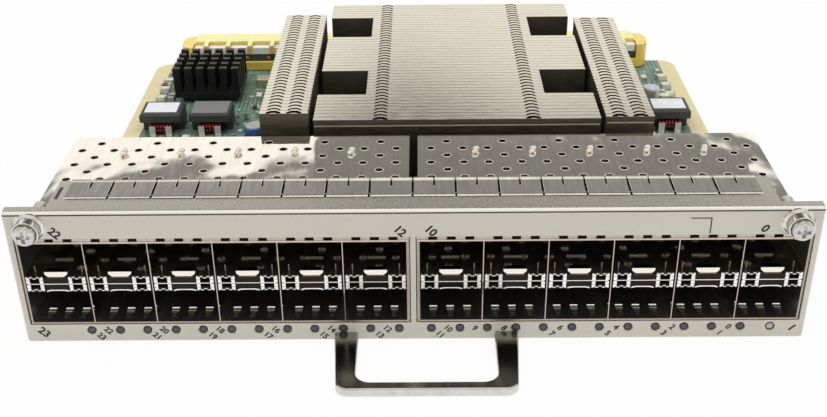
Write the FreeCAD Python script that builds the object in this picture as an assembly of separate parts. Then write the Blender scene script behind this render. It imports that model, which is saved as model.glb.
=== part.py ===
"""Pluggable network interface card with twin stacked port cages and finned heat sinks."""
import FreeCAD, Part
import math
import os

V = FreeCAD.Vector

# Port cages: two ganged blocks, two rows of bays each
PORT_PITCH = 14.25
PORT_COLUMNS = 6
CAGE_SHEET = 0.4
CAGE_H = 21.6
CAGE_DEPTH = 52.0
CAGE_GAP = 2.1
CAGE_PROUD = 0.2
SEPARATOR_H = 3.1
LIGHT_WINDOW_W = 3.0
LIGHT_WINDOW_H = 0.9
LIGHT_WINDOW_DEPTH = 1.2
LIGHT_WINDOW_X = 4.4
LIGHT_WINDOW_Z = 0.72
SOCKET_DEPTH = 9.0
SOCKET_SIDE_GAP = 0.4
SLOT_W = 10.4
SLOT_H = 1.4
SLOT_DEPTH = 4.0
VENT_D = 1.85
VENT_ROWS = 9
VENT_ROW_PITCH = 3.83
VENT_SPREAD = 4.05
VENT_REAR_INSET = 3.6
TAB_L = 2.4
TAB_H = 1.6
TAB_REAR_INSET = 9.9
TAB_CLEAR = 0.1
GASKET_T = 0.25
GASKET_DEPTH = 3.4
GASKET_FRONT_INSET = 0.5

# Front panel and its film
PANEL_T = 2.0
PANEL_CORNER_R = 1.0
SIDE_STRIP = 1.35
TOP_STRIP = 6.5
WINDOW_SIDE_CLEAR = 0.45
WINDOW_TOP_CLEAR = 0.9
WINDOW_BOTTOM_CLEAR = 0.3
FLANGE_T = 1.5
FLANGE_DEPTH = 2.7
TOP_EDGE_R = 0.9
TONGUE_END_INSET = 9.0
TONGUE_DEPTH = 14.5
OVERLAY_T = 0.25
OVERLAY_TOP_INSET = 0.9
OVERLAY_EDGE_INSET = 0.3
OVERLAY_LAMP_CLEAR = 0.2
OVERLAY_COLLAR_CLEAR = 0.3
EAR_W = 9.0
EAR_T = 1.2
EAR_REACH = 11.0
EAR_COUNT = 3
EAR_PITCH = 62.0

# Finger strip on the tongue
FINGER_COUNT = 16
FINGER_PITCH = 9.6
FINGER_SLIT = 0.4
FINGER_DEPTH = 7.9
FINGER_RISE = 0.7
FINGER_T = 0.15
FINGER_RAIL = 1.2
FINGER_REAR_INSET = 0.7

# Captive screws
SCREW_EDGE_INSET = 5.55
SCREW_DROP = 3.5
COLLAR_D = 6.7
COLLAR_H = 0.9
SLEEVE_D = 5.7
SLEEVE_H = 3.4
SLEEVE_BORE_D = 5.0
HEAD_CLEAR = 0.1
HEAD_H = 2.0
HEAD_PROUD = 1.5
HEAD_DOME = 0.7
HEAD_FLAT_D = 2.8
FERRULE_FLOOR_T = 1.2
BARREL_D = 5.0
POCKET_D = 4.2
POCKET_STEP = 0.3
BARREL_CLEAR = 0.05
BARREL_REACH = 0.8
NECK_D = 2.4
NECK_CLEAR = 0.1
THREAD_D = 3.0
THREAD_L = 7.0
THREAD_TIP = 0.6
THREAD_STOP_GAP = 0.05
CROSS_W = 0.8
CROSS_L = 2.8
CROSS_DEPTH = 1.0
SPRING_TURNS = 3.5
SPRING_WIRE = 0.35
SPRING_SIDE_CLEAR = 0.25
RUNS_PER_TURN = 12
WIRE_SIDES = 8

# Handle
HANDLE_X = 2.85
HANDLE_ROOT_W = 42.1
HANDLE_FRONT_W = 39.2
HANDLE_REACH = 20.8
HANDLE_T = 2.2
HANDLE_BAR = 2.7
HANDLE_GAP_W = 31.0
HANDLE_OUTER_R = 2.8
HANDLE_INNER_R = 3.4
HANDLE_EDGE_R = 0.5
TENON_D = 1.2
TENON_CLEAR = 0.05

# Circuit board
BOARD_RAISE = 2.6
BOARD_T = 2.4
BOARD_SIDE_INSET = 0.5
BOARD_FRONT_GAP = 2.2
BOARD_CORNER_R = 5.0
BOARD_SCREW_CLEAR = 0.05
PANEL_SCREW_D = 2.5
PANEL_SCREW_HEAD_D = 4.4
PANEL_SCREW_HEAD_H = 0.9
PANEL_SCREW_TIP_GAP = 0.3
SPACER_D = 5.0

# Lamps in the lower strip
LAMP_D = 2.0
LAMP_CLEAR = 0.05
LAMP_INSET = 0.05
LAMP_DROP = 1.9
LAMP_PAIR_STEP = 6.5
LAMP_CLOSING = 1.5
LAMP_LEFT_INSET = 13.35
LAMP_RIGHT_INSET = 2.95
STATUS_LAMP_INSET = 7.75

# Finned heat sink on the main processor
SINK_X = 11.3
SINK_GAP = 4.4
SINK_W = 75.0
CHIP_W = 42.0
CHIP_H = 3.0
PAD_T = 0.5
BASE_T = 4.0
FIN_PITCH = 2.05
FIN_T = 0.35
FIN_SEAM = 0.16
FIN_CORNER_W = 0.25
FIN_CORNER_L = 0.45
CENTRE_FINS = 43
CENTRE_FIN_H = 16.5
SIDE_FINS = 36
SIDE_PACK_W = 12.6
SIDE_PACK_GAP = 1.3
LEFT_FIN_H = 18.5
RIGHT_FIN_H = 16.9
NOTCH_W = 13.2
FRONT_NOTCH_FIRST = 8
REAR_NOTCH_FIRST = 29
NOTCH_FINS = 8
ZIP_W = 3.5
ZIP_SHOULDER = 0.7
ZIP_DEPTH = 1.5
ZIP_CROWN_W = 1.2
ZIP_GAP = 0.85
ZIP_SIDE_GAP = 0.2
FRONT_TAB_GAP = 0.8
FRONT_TAB_SIDE_GAP = 0.95
ZIP_DROP = 1.3
CENTRE_ZIP_X = 20.0
SIDE_ZIP_X = 2.7
SINK_SCREW_D = 3.0
SINK_SCREW_CLEAR = 0.3
SINK_SCREW_HEAD_D = 6.0
SINK_SCREW_HEAD_H = 2.0
SINK_SPRING_H = 5.0
SINK_SPRING_TURNS = 3.5
SINK_SPRING_WIRE = 0.5
SINK_SPRING_CLEAR = 0.3

# Pin heat sink
PIN_SINK_EDGE_INSET = 11.9
PIN_SINK_SETBACK = 68.5
PIN_COLUMNS = 6
PIN_ROWS = 5
PIN_PITCH_X = 3.7
PIN_PITCH_Y = 3.85
PIN_W = 2.3
PIN_DEPTH = 1.9
PIN_H = 8.2
PIN_BASE_T = 1.8
PIN_CHIP_W = 17.0
PIN_CHIP_DEPTH = 12.0
PIN_CHIP_H = 2.0

# Power inductors
COIL_W = 12.3
COIL_DEPTH = 10.0
COIL_H = 7.0
COIL_CHEEK = 2.6
COIL_ROOF = 2.8
COIL_CHAMFER = 0.6
CHEEK_SETBACK = 4.0
COIL_EDGE_INSET = 5.6
COIL_STEP = 14.8
COIL_SETBACK = 45.5
WINDING_CLEAR = 0.2
WINDING_PROUD = 0.5
TERMINAL_W = 2.2
TERMINAL_L = 1.4
TERMINAL_T = 0.5

# Other parts on the board
CAN_D = 5.2
CAN_H = 8.0
CAN_EDGE_INSET = 14.9
CAN_SETBACK = 61.0
BLUE_CAN_D = 6.0
BLUE_CAN_H = 4.2
BLUE_CAN_EDGE_INSET = 40.2
BLUE_CAN_SETBACK = 43.5
CAN_BASE_T = 1.0
CRYSTAL_W = 5.0
CRYSTAL_DEPTH = 4.2
CRYSTAL_H = 2.8
CRYSTAL_EDGE_INSET = 36.0
CRYSTAL_SETBACK = 81.0
BORDER_W = 5.0
CHIP_EDGE_INSET = 10.0
CHIP_ROW_SETBACK = 8.0
CHIP_ROW_PITCH = 11.0
CHIP_ROW_COUNT = 3
SMALL_CHIP_W = 7.0
SMALL_CHIP_DEPTH = 5.0
SMALL_CHIP_H = 1.6
CERAMIC_W = 3.2
CERAMIC_DEPTH = 2.2
CERAMIC_H = 1.5
CERAMIC_PITCH = 7.0
CERAMIC_COUNT = 4
CERAMIC_REAR_GAP = 1.0

# Rear connector row and its guard
REAR_CLEAR = 2.8
REAR_OVERHANG = 5.0
CONNECTOR_COUNT = 5
CONNECTOR_GAP = 1.6
CONNECTOR_H = 7.6
CONNECTOR_DROP = 3.2
COVER_W = 157.6
COVER_X = -0.2
COVER_T = 1.2
COVER_END_WALL = 4.0
COVER_DEPTH = 11.2
COVER_TOP_RISE = 9.0
COVER_END_R = 4.5
COVER_END_DROP = 0.8
COVER_ROOF_SETBACK = 4.3
COVER_FIT = 0.3
COVER_LIP_H = 3.0
HOOK_W = 1.4
HOOK_H = 1.7
HOOK_PITCH = 7.4
ARM_W = 1.8
ARM_H = 1.6
ARM_L = 8.0
ARM_INSET = 9.0

# Heights worked out from the values above
BOARD_TOP = BOARD_RAISE + BOARD_T
CAGE_TOP = BOARD_TOP + CAGE_H
BAY_FLOOR = BOARD_TOP + CAGE_SHEET
BAY_ROOF = CAGE_TOP - CAGE_SHEET
BAY_H = (BAY_ROOF - BAY_FLOOR - SEPARATOR_H) / 2
SEPARATOR_Z = BAY_FLOOR + BAY_H
WINDOW_BOTTOM = BOARD_TOP - WINDOW_BOTTOM_CLEAR
WINDOW_TOP = CAGE_TOP + WINDOW_TOP_CLEAR
PANEL_H = WINDOW_TOP + TOP_STRIP
LAMP_Z = BOARD_TOP - LAMP_DROP
SCREW_Z = PANEL_H - SCREW_DROP
HANDLE_Z = HANDLE_T / 2
CHIP_TOP = BOARD_TOP + CHIP_H
BASE_Z = CHIP_TOP + PAD_T
FIN_Z = BASE_Z + BASE_T

# Widths, from the card's middle plane
CAGE_W = PORT_COLUMNS * PORT_PITCH + CAGE_SHEET
CAGE_INNER_X = CAGE_GAP / 2
CAGE_OUTER_X = CAGE_INNER_X + CAGE_W
WINDOW_INNER_X = CAGE_INNER_X - WINDOW_SIDE_CLEAR
WINDOW_OUTER_X = CAGE_OUTER_X + WINDOW_SIDE_CLEAR
PANEL_HALF_W = WINDOW_OUTER_X + SIDE_STRIP
BOARD_HALF_W = PANEL_HALF_W - BOARD_SIDE_INSET
SCREW_X = PANEL_HALF_W - SCREW_EDGE_INSET
TONGUE_HALF_W = PANEL_HALF_W - TONGUE_END_INSET
LEFT_PACK_X = SINK_X - SINK_W / 2 - SIDE_PACK_GAP - SIDE_PACK_W
RIGHT_PACK_X = SINK_X + SINK_W / 2 + SIDE_PACK_GAP

# Depths, with the panel's middle plane at zero
FRONT_Y = -PANEL_T / 2
BACK_Y = PANEL_T / 2
FACE_Y = FRONT_Y - OVERLAY_T
CAGE_FRONT_Y = FRONT_Y - CAGE_PROUD
CAGE_REAR_Y = CAGE_FRONT_Y + CAGE_DEPTH
SOCKET_REAR_Y = CAGE_REAR_Y - CAGE_SHEET
SOCKET_FRONT_Y = SOCKET_REAR_Y - SOCKET_DEPTH
BOARD_FRONT_Y = BACK_Y + BOARD_FRONT_GAP
SINK_FRONT_Y = CAGE_REAR_Y + SINK_GAP
SINK_REAR_Y = SINK_FRONT_Y + CENTRE_FINS * FIN_PITCH
COVER_FRONT_Y = SINK_REAR_Y + REAR_CLEAR
COVER_REAR_Y = COVER_FRONT_Y + COVER_DEPTH
BOARD_REAR_Y = COVER_REAR_Y - REAR_OVERHANG
EAR_SCREW_Y = BACK_Y + EAR_REACH - EAR_W / 2
FERRULE_END_Y = BACK_Y + BARREL_REACH
FERRULE_FLOOR_Y = FERRULE_END_Y - FERRULE_FLOOR_T
HEAD_Y = FRONT_Y - SLEEVE_H - HEAD_PROUD
HEAD_SEAT_Y = HEAD_Y + HEAD_H

os.makedirs("parts", exist_ok=True)


def block(x0, x1, y0, y1, z0, z1):
    return Part.makeBox(x1 - x0, y1 - y0, z1 - z0, V(x0, y0, z0))


def rod_y(x, z, d, y0, y1):
    return Part.makeCylinder(d / 2, y1 - y0, V(x, y0, z), V(0, 1, 0))


def rod_z(x, y, d, z0, z1):
    return Part.makeCylinder(d / 2, z1 - z0, V(x, y, z0), V(0, 0, 1))


def cone_z(x, y, d0, d1, z0, z1):
    return Part.makeCone(d0 / 2, d1 / 2, z1 - z0, V(x, y, z0), V(0, 0, 1))


def turned_y(x, z, outline):
    """Solid of revolution about a line along Y, from (radius, y) points."""
    wire = Part.makePolygon([V(x + r, y, z) for r, y in outline + outline[:1]])
    return Part.Face(wire).revolve(V(x, 0, z), V(0, 1, 0), 360)


def coil(mean_d, wire_d, turns, height, start, axis):
    """Compression spring along an axis, its wire bent in short straight runs."""
    runs = round(turns * RUNS_PER_TURN)
    rings = []
    for i in range(runs + 1):
        turn = 2 * math.pi * turns * i / runs
        lift = wire_d / 2 + (height - wire_d) * i / runs
        ring = []
        for k in range(WIRE_SIDES):
            round_wire = 2 * math.pi * k / WIRE_SIDES
            reach = (mean_d + wire_d * math.cos(round_wire)) / 2
            rise = lift + wire_d * math.sin(round_wire) / 2
            ring.append(V(reach * math.cos(turn), reach * math.sin(turn), rise))
        rings.append(ring)
    corners = [rings[0], rings[-1]]
    for low, high in zip(rings, rings[1:]):
        for k in range(WIRE_SIDES):
            corners.append([low[k - 1], low[k], high[k]])
            corners.append([low[k - 1], high[k], high[k - 1]])
    faces = [Part.Face(Part.makePolygon(points + points[:1])) for points in corners]
    spring = Part.Solid(Part.Shell(faces))
    if spring.Volume < 0:
        spring.reverse()
    spring.Placement = FreeCAD.Placement(start, FreeCAD.Rotation(V(0, 0, 1), axis))
    return spring


def prism(outline, z0, z1):
    """Upright solid on a flat outline."""
    points = [V(x, y, z0) for x, y in outline]
    return Part.Face(Part.makePolygon(points + points[:1])).extrude(V(0, 0, z1 - z0))


def upright_edges(solid, corners):
    """Edges along Z that stand on the given plan points."""
    found = []
    for edge in solid.Edges:
        low, high = edge.Vertexes[0].Point, edge.Vertexes[-1].Point
        if abs(low.x - high.x) > 1e-6 or abs(low.y - high.y) > 1e-6:
            continue
        if any(math.hypot(low.x - x, low.y - y) < 1e-4 for x, y in corners):
            found.append(edge)
    return found


def save(node, solids):
    shape = solids[0] if len(solids) == 1 else Part.makeCompound(solids)
    shape.exportStep("parts/%s.step" % node)


def mirrored(solids):
    return [solid.mirror(V(0, 0, 0), V(1, 0, 0)) for solid in solids]


def column_x(i):
    """Middle of a bay column of the right-hand cage."""
    return CAGE_INNER_X + CAGE_SHEET / 2 + (i + 0.5) * PORT_PITCH


def divider_x(i):
    return CAGE_INNER_X + CAGE_SHEET / 2 + i * PORT_PITCH


def lamp_places():
    pair_pitch = PORT_PITCH - LAMP_CLOSING
    starts = (-CAGE_OUTER_X + LAMP_LEFT_INSET, CAGE_INNER_X + LAMP_RIGHT_INSET)
    pairs = [x + i * pair_pitch for x in starts for i in range(PORT_COLUMNS)]
    return [x + step for x in pairs for step in (0, LAMP_PAIR_STEP)]


def ear_places():
    return [(i - (EAR_COUNT - 1) / 2) * EAR_PITCH for i in range(EAR_COUNT)]


STATUS_LAMP_X = PANEL_HALF_W - STATUS_LAMP_INSET


def handle_leg_places():
    arm = (HANDLE_ROOT_W + HANDLE_GAP_W) / 4
    return [HANDLE_X - arm, HANDLE_X + arm]


def panel_windows(y0, y1):
    """Cutters for the two port windows."""
    right = block(WINDOW_INNER_X, WINDOW_OUTER_X, y0, y1, WINDOW_BOTTOM, WINDOW_TOP)
    return [right] + mirrored([right])


def front_panel():
    plate = block(-PANEL_HALF_W, PANEL_HALF_W, FRONT_Y, BACK_Y, 0, PANEL_H)
    fold_z = PANEL_H - FLANGE_T
    flange = block(-PANEL_HALF_W, PANEL_HALF_W, FRONT_Y, FRONT_Y + FLANGE_DEPTH, fold_z, PANEL_H)
    tongue = block(-TONGUE_HALF_W, TONGUE_HALF_W, FRONT_Y, FRONT_Y + TONGUE_DEPTH, fold_z, PANEL_H)
    half_ear = EAR_W / 2
    ears = [block(x - half_ear, x + half_ear, FRONT_Y, BACK_Y + EAR_REACH, 0, EAR_T) for x in ear_places()]
    panel = plate.fuse([flange, tongue] + ears).removeSplitter()
    rolled = [e for e in panel.Edges
              if e.BoundBox.ZMin > PANEL_H - 1e-6 and e.BoundBox.YMax < FRONT_Y + 1e-6]
    panel = panel.makeFillet(TOP_EDGE_R, rolled)
    feet = [e for e in panel.Edges if e.BoundBox.ZMax < 1e-6 and e.BoundBox.XLength < 1e-6
            and abs(e.BoundBox.XMax) > PANEL_HALF_W - 1e-6]
    panel = panel.makeFillet(PANEL_CORNER_R, feet)
    cuts = panel_windows(FRONT_Y - 1, BACK_Y + 1)
    lamp_hole_d = LAMP_D + 2 * LAMP_CLEAR
    for x in lamp_places() + [STATUS_LAMP_X]:
        cuts.append(rod_y(x, LAMP_Z, lamp_hole_d, FRONT_Y - 1, BACK_Y + 1))
    for x in (-SCREW_X, SCREW_X):
        cuts.append(rod_y(x, SCREW_Z, BARREL_D + 2 * BARREL_CLEAR, FRONT_Y - 1, BACK_Y + 1))
    for x in handle_leg_places():
        cuts.append(rod_y(x, HANDLE_Z, TENON_D + 2 * TENON_CLEAR, FRONT_Y - 1, BACK_Y + 1))
    for x in ear_places():
        cuts.append(panel_screw(x, BOARD_SCREW_CLEAR))
    return panel.cut(Part.makeCompound(cuts))


def panel_screw(x, clear):
    """Countersunk screw through an ear, grown by a clearance for its hole."""
    head_d = PANEL_SCREW_HEAD_D + 2 * clear
    shank_d = PANEL_SCREW_D + 2 * clear
    head = cone_z(x, EAR_SCREW_Y, head_d, shank_d, 0, PANEL_SCREW_HEAD_H)
    shank = rod_z(x, EAR_SCREW_Y, shank_d, 0, BOARD_TOP - PANEL_SCREW_TIP_GAP)
    return head.fuse(shank)


def panel_spacer(x):
    ring = rod_z(x, EAR_SCREW_Y, SPACER_D, EAR_T, BOARD_RAISE)
    return ring.cut(rod_z(x, EAR_SCREW_Y, PANEL_SCREW_D + 2 * BOARD_SCREW_CLEAR, 0, BOARD_TOP))


def panel_overlay():
    half_w = PANEL_HALF_W - OVERLAY_EDGE_INSET
    film = block(-half_w, half_w, FACE_Y, FRONT_Y, OVERLAY_EDGE_INSET, PANEL_H - OVERLAY_TOP_INSET)
    cuts = panel_windows(FACE_Y - 1, FRONT_Y + 1)
    for x in lamp_places() + [STATUS_LAMP_X]:
        cuts.append(rod_y(x, LAMP_Z, LAMP_D + 2 * OVERLAY_LAMP_CLEAR, FACE_Y - 1, FRONT_Y + 1))
    for x in (-SCREW_X, SCREW_X):
        cuts.append(rod_y(x, SCREW_Z, COLLAR_D + 2 * OVERLAY_COLLAR_CLEAR, FACE_Y - 1, FRONT_Y + 1))
    for x in handle_leg_places():
        cuts.append(rod_y(x, HANDLE_Z, TENON_D + 2 * TENON_CLEAR, FACE_Y - 1, FRONT_Y + 1))
    return film.cut(cuts[0].multiFuse(cuts[1:]))


def cage_frame():
    """Folded floor, side walls and back of the right-hand cage."""
    tray = block(CAGE_INNER_X, CAGE_OUTER_X, CAGE_FRONT_Y, CAGE_REAR_Y, BOARD_TOP, BAY_ROOF)
    hollow = block(CAGE_INNER_X + CAGE_SHEET, CAGE_OUTER_X - CAGE_SHEET, CAGE_FRONT_Y - 1, SOCKET_REAR_Y,
                   BAY_FLOOR, BAY_ROOF + 1)
    return tray.cut(hollow)


def vent_rows():
    """Rows from the rear: one hole a bay, then two, in turn."""
    rows = []
    for row in range(VENT_ROWS):
        y = CAGE_REAR_Y - VENT_REAR_INSET - row * VENT_ROW_PITCH
        offsets = (0,) if row % 2 == 0 else (-VENT_SPREAD, VENT_SPREAD)
        rows.append((y, offsets))
    return rows


def divider_tab(x, clear):
    y = CAGE_REAR_Y - TAB_REAR_INSET
    half_t = CAGE_SHEET / 2 + clear
    half_l = TAB_L / 2 + clear
    return block(x - half_t, x + half_t, y - half_l, y + half_l, BAY_ROOF - clear, CAGE_TOP + TAB_H)


def cage_lid():
    """Flat top sheet with vent holes and slots for the divider tabs."""
    lid = block(CAGE_INNER_X, CAGE_OUTER_X, CAGE_FRONT_Y, CAGE_REAR_Y, BAY_ROOF, CAGE_TOP)
    cuts = []
    for y, offsets in vent_rows():
        for i in range(PORT_COLUMNS):
            for dx in offsets:
                cuts.append(rod_z(column_x(i) + dx, y, VENT_D, BAY_ROOF - 1, CAGE_TOP + 1))
    for i in range(1, PORT_COLUMNS):
        cuts.append(divider_tab(divider_x(i), TAB_CLEAR))
    return lid.cut(Part.makeCompound(cuts))


def cage_divider(i):
    x = divider_x(i)
    wall = block(x - CAGE_SHEET / 2, x + CAGE_SHEET / 2, CAGE_FRONT_Y, SOCKET_REAR_Y, BAY_FLOOR, BAY_ROOF)
    return wall.fuse(divider_tab(x, 0)).removeSplitter()


def port_separator(i):
    """Hollow bridge between the upper and lower bay, with four light windows."""
    x = column_x(i)
    half_w = (PORT_PITCH - CAGE_SHEET) / 2
    body = block(x - half_w, x + half_w, CAGE_FRONT_Y, SOCKET_FRONT_Y,
                 SEPARATOR_Z, SEPARATOR_Z + SEPARATOR_H)
    cuts = []
    for side in (-1, 1):
        for row in (-1, 1):
            cx = x + side * LIGHT_WINDOW_X
            cz = SEPARATOR_Z + SEPARATOR_H / 2 + row * LIGHT_WINDOW_Z
            cuts.append(block(cx - LIGHT_WINDOW_W / 2, cx + LIGHT_WINDOW_W / 2,
                              CAGE_FRONT_Y - 1, CAGE_FRONT_Y + LIGHT_WINDOW_DEPTH,
                              cz - LIGHT_WINDOW_H / 2, cz + LIGHT_WINDOW_H / 2))
    return body.cut(Part.makeCompound(cuts))


def port_connector(i):
    """Socket block behind a bay column, one card slot for each bay."""
    x = column_x(i)
    half_w = (PORT_PITCH - CAGE_SHEET) / 2 - SOCKET_SIDE_GAP
    body = block(x - half_w, x + half_w, SOCKET_FRONT_Y, SOCKET_REAR_Y, BAY_FLOOR, BAY_ROOF)
    cuts = []
    for z in (BAY_FLOOR + BAY_H / 2, BAY_ROOF - BAY_H / 2):
        cuts.append(block(x - SLOT_W / 2, x + SLOT_W / 2, SOCKET_FRONT_Y - 1, SOCKET_FRONT_Y + SLOT_DEPTH,
                          z - SLOT_H / 2, z + SLOT_H / 2))
    return body.cut(Part.makeCompound(cuts))


def cage_gasket():
    """Spring collar round the mouth of the right-hand cage."""
    y0 = CAGE_FRONT_Y + GASKET_FRONT_INSET
    y1 = y0 + GASKET_DEPTH
    outer = block(CAGE_INNER_X - GASKET_T, CAGE_OUTER_X + GASKET_T, y0, y1,
                  BOARD_TOP - GASKET_T, CAGE_TOP + GASKET_T)
    return outer.cut(block(CAGE_INNER_X, CAGE_OUTER_X, y0 - 1, y1 + 1, BOARD_TOP, CAGE_TOP))


def finger_strip():
    """Arched contact fingers held by a rail along their front edge."""
    y1 = FRONT_Y + TONGUE_DEPTH - FINGER_REAR_INSET
    y0 = y1 - FINGER_DEPTH
    ym = (y0 + y1) / 2
    foot = PANEL_H + FINGER_T
    crest = PANEL_H + FINGER_RISE
    top = Part.Arc(V(0, y0, foot), V(0, ym, crest), V(0, y1, foot))
    low = Part.Arc(V(0, y0, PANEL_H), V(0, ym, crest - FINGER_T), V(0, y1, PANEL_H))
    ends = [Part.makeLine(V(0, y, PANEL_H), V(0, y, foot)) for y in (y0, y1)]
    section = Part.Face(Part.Wire([top.toShape(), ends[1], low.toShape(), ends[0]]))
    start = -FINGER_COUNT * FINGER_PITCH / 2
    strip = section.extrude(V(FINGER_COUNT * FINGER_PITCH, 0, 0))
    strip.translate(V(start, 0, 0))
    slits = []
    for i in range(1, FINGER_COUNT):
        x = start + i * FINGER_PITCH - FINGER_SLIT / 2
        slits.append(block(x, x + FINGER_SLIT, y0 + FINGER_RAIL, y1 + 1, PANEL_H - 1, PANEL_H + 2))
    return strip.cut(Part.makeCompound(slits))


def screw_ferrule(x):
    """Collared sleeve of a captive screw, pressed into the panel."""
    mouth_y = FRONT_Y - SLEEVE_H
    step_y = FRONT_Y - POCKET_STEP
    neck_r = NECK_D / 2 + NECK_CLEAR
    return turned_y(x, SCREW_Z, [
        (SLEEVE_BORE_D / 2, mouth_y), (SLEEVE_D / 2, mouth_y), (SLEEVE_D / 2, FRONT_Y - COLLAR_H),
        (COLLAR_D / 2, FRONT_Y - COLLAR_H / 2), (COLLAR_D / 2, FRONT_Y), (BARREL_D / 2, FRONT_Y),
        (BARREL_D / 2, FERRULE_END_Y), (neck_r, FERRULE_END_Y), (neck_r, FERRULE_FLOOR_Y),
        (POCKET_D / 2, FERRULE_FLOOR_Y), (POCKET_D / 2, step_y), (SLEEVE_BORE_D / 2, step_y)])


def captive_screw(x):
    """Domed cross-recessed head, slim neck and threaded end."""
    head_r = SLEEVE_BORE_D / 2 - HEAD_CLEAR
    thread_y = FERRULE_END_Y + THREAD_STOP_GAP
    tip_y = thread_y + THREAD_L
    screw = turned_y(x, SCREW_Z, [
        (0, HEAD_Y), (HEAD_FLAT_D / 2, HEAD_Y), (head_r, HEAD_Y + HEAD_DOME), (head_r, HEAD_SEAT_Y),
        (NECK_D / 2, HEAD_SEAT_Y), (NECK_D / 2, thread_y), (THREAD_D / 2, thread_y),
        (THREAD_D / 2, tip_y - THREAD_TIP), (THREAD_D / 2 - THREAD_TIP, tip_y), (0, tip_y)])
    flat = block(x - CROSS_L / 2, x + CROSS_L / 2, HEAD_Y - 1, HEAD_Y + CROSS_DEPTH,
                 SCREW_Z - CROSS_W / 2, SCREW_Z + CROSS_W / 2)
    upright = block(x - CROSS_W / 2, x + CROSS_W / 2, HEAD_Y - 1, HEAD_Y + CROSS_DEPTH,
                    SCREW_Z - CROSS_L / 2, SCREW_Z + CROSS_L / 2)
    return screw.cut(flat.fuse(upright))


def screw_spring(x):
    mean_d = POCKET_D - 2 * SPRING_SIDE_CLEAR - SPRING_WIRE
    length = FERRULE_FLOOR_Y - HEAD_SEAT_Y
    return coil(mean_d, SPRING_WIRE, SPRING_TURNS, length, V(x, HEAD_SEAT_Y, SCREW_Z), V(0, 1, 0))


def handle():
    """Flat pull handle, narrower at its bar, with a riveted tenon on each leg."""
    bar_front = FACE_Y - HANDLE_REACH
    bar_back = bar_front + HANDLE_BAR
    root, front, gap = HANDLE_ROOT_W / 2, HANDLE_FRONT_W / 2, HANDLE_GAP_W / 2
    outline = [(-root, FACE_Y), (-front, bar_front), (front, bar_front), (root, FACE_Y),
               (gap, FACE_Y), (gap, bar_back), (-gap, bar_back), (-gap, FACE_Y)]
    body = prism([(HANDLE_X + x, y) for x, y in outline], 0, HANDLE_T)
    corners = [(HANDLE_X - front, bar_front), (HANDLE_X + front, bar_front)]
    body = body.makeFillet(HANDLE_OUTER_R, upright_edges(body, corners))
    corners = [(HANDLE_X - gap, bar_back), (HANDLE_X + gap, bar_back)]
    body = body.makeFillet(HANDLE_INNER_R, upright_edges(body, corners))
    rims = [e for e in body.Edges if e.BoundBox.ZLength < 1e-6 and e.BoundBox.YMin < FACE_Y - 1e-3]
    body = body.makeFillet(HANDLE_EDGE_R, rims)
    return body.fuse([rod_y(x, HANDLE_Z, TENON_D, FACE_Y, BACK_Y) for x in handle_leg_places()])


def lamp(x):
    return rod_y(x, LAMP_Z, LAMP_D, FACE_Y + LAMP_INSET, BOARD_FRONT_Y)


def circuit_board():
    board = block(-BOARD_HALF_W, BOARD_HALF_W, BOARD_FRONT_Y, BOARD_REAR_Y, BOARD_RAISE, BOARD_TOP)
    corners = [(-BOARD_HALF_W, BOARD_REAR_Y), (BOARD_HALF_W, BOARD_REAR_Y)]
    board = board.makeFillet(BOARD_CORNER_R, upright_edges(board, corners))
    cuts = []
    for x in ear_places():
        cuts.append(rod_z(x, EAR_SCREW_Y, PANEL_SCREW_D + 2 * BOARD_SCREW_CLEAR, 0, BOARD_TOP + 1))
    for x, y in sink_screw_places():
        cuts.append(rod_z(x, y, SINK_SCREW_D + 2 * BOARD_SCREW_CLEAR, 0, BOARD_TOP + 1))
    return board.cut(Part.makeCompound(cuts))


def sink_screw_places():
    """Middles of the four notches in the centre fin pack."""
    half = (SINK_W - NOTCH_W) / 2
    middles = [first + NOTCH_FINS / 2 for first in (FRONT_NOTCH_FIRST, REAR_NOTCH_FIRST)]
    return [(SINK_X + side * half, SINK_FRONT_Y + i * FIN_PITCH) for side in (-1, 1) for i in middles]


def zip_arch(x, y, side_gap, gap, z0, z1):
    """Flat-topped arch, as a notch when its gaps are nil and as the tab that lies in it otherwise."""
    half, crown = ZIP_W / 2 - side_gap, ZIP_CROWN_W / 2
    front, shoulder, depth = y - FIN_PITCH / 2, y + ZIP_SHOULDER - gap, y + ZIP_DEPTH - gap
    return prism([(x - half, front), (x - half, shoulder), (x - crown, depth),
                  (x + crown, depth), (x + half, shoulder), (x + half, front)], z0, z1)


def fin_flange(x0, x1, y, z0, z1):
    """Flange with both rear corners cut, as the shears leave them."""
    rear = y + FIN_PITCH - FIN_SEAM
    return prism([(x0, y), (x1, y), (x1, rear - FIN_CORNER_L), (x1 - FIN_CORNER_W, rear),
                  (x0 + FIN_CORNER_W, rear), (x0, rear - FIN_CORNER_L)], z0, z1)


def fin(x0, x1, i, count, height, zips):
    """Folded fin whose top flange reaches to the next one and locks into its notches."""
    y = SINK_FRONT_Y + i * FIN_PITCH
    top = FIN_Z + height
    plate = block(x0, x1, y, y + FIN_T, FIN_Z, top)
    adds = [fin_flange(x0, x1, y, top - FIN_T, top)]
    if i < count - 1:
        adds += [zip_arch(x, y + FIN_PITCH, ZIP_SIDE_GAP, ZIP_GAP, top - FIN_T, top) for x in zips]
    notches = [zip_arch(x, y, 0, 0, top - ZIP_DROP, top + 1) for x in zips]
    if i == 0:
        tabs = [zip_arch(x, y, FRONT_TAB_SIDE_GAP, FRONT_TAB_GAP, top - ZIP_DROP, top + 1) for x in zips]
        notches = [notch.cut([plate, tab]) for notch, tab in zip(notches, tabs)]
    return plate.fuse(adds).cut(Part.makeCompound(notches)).removeSplitter()


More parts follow.
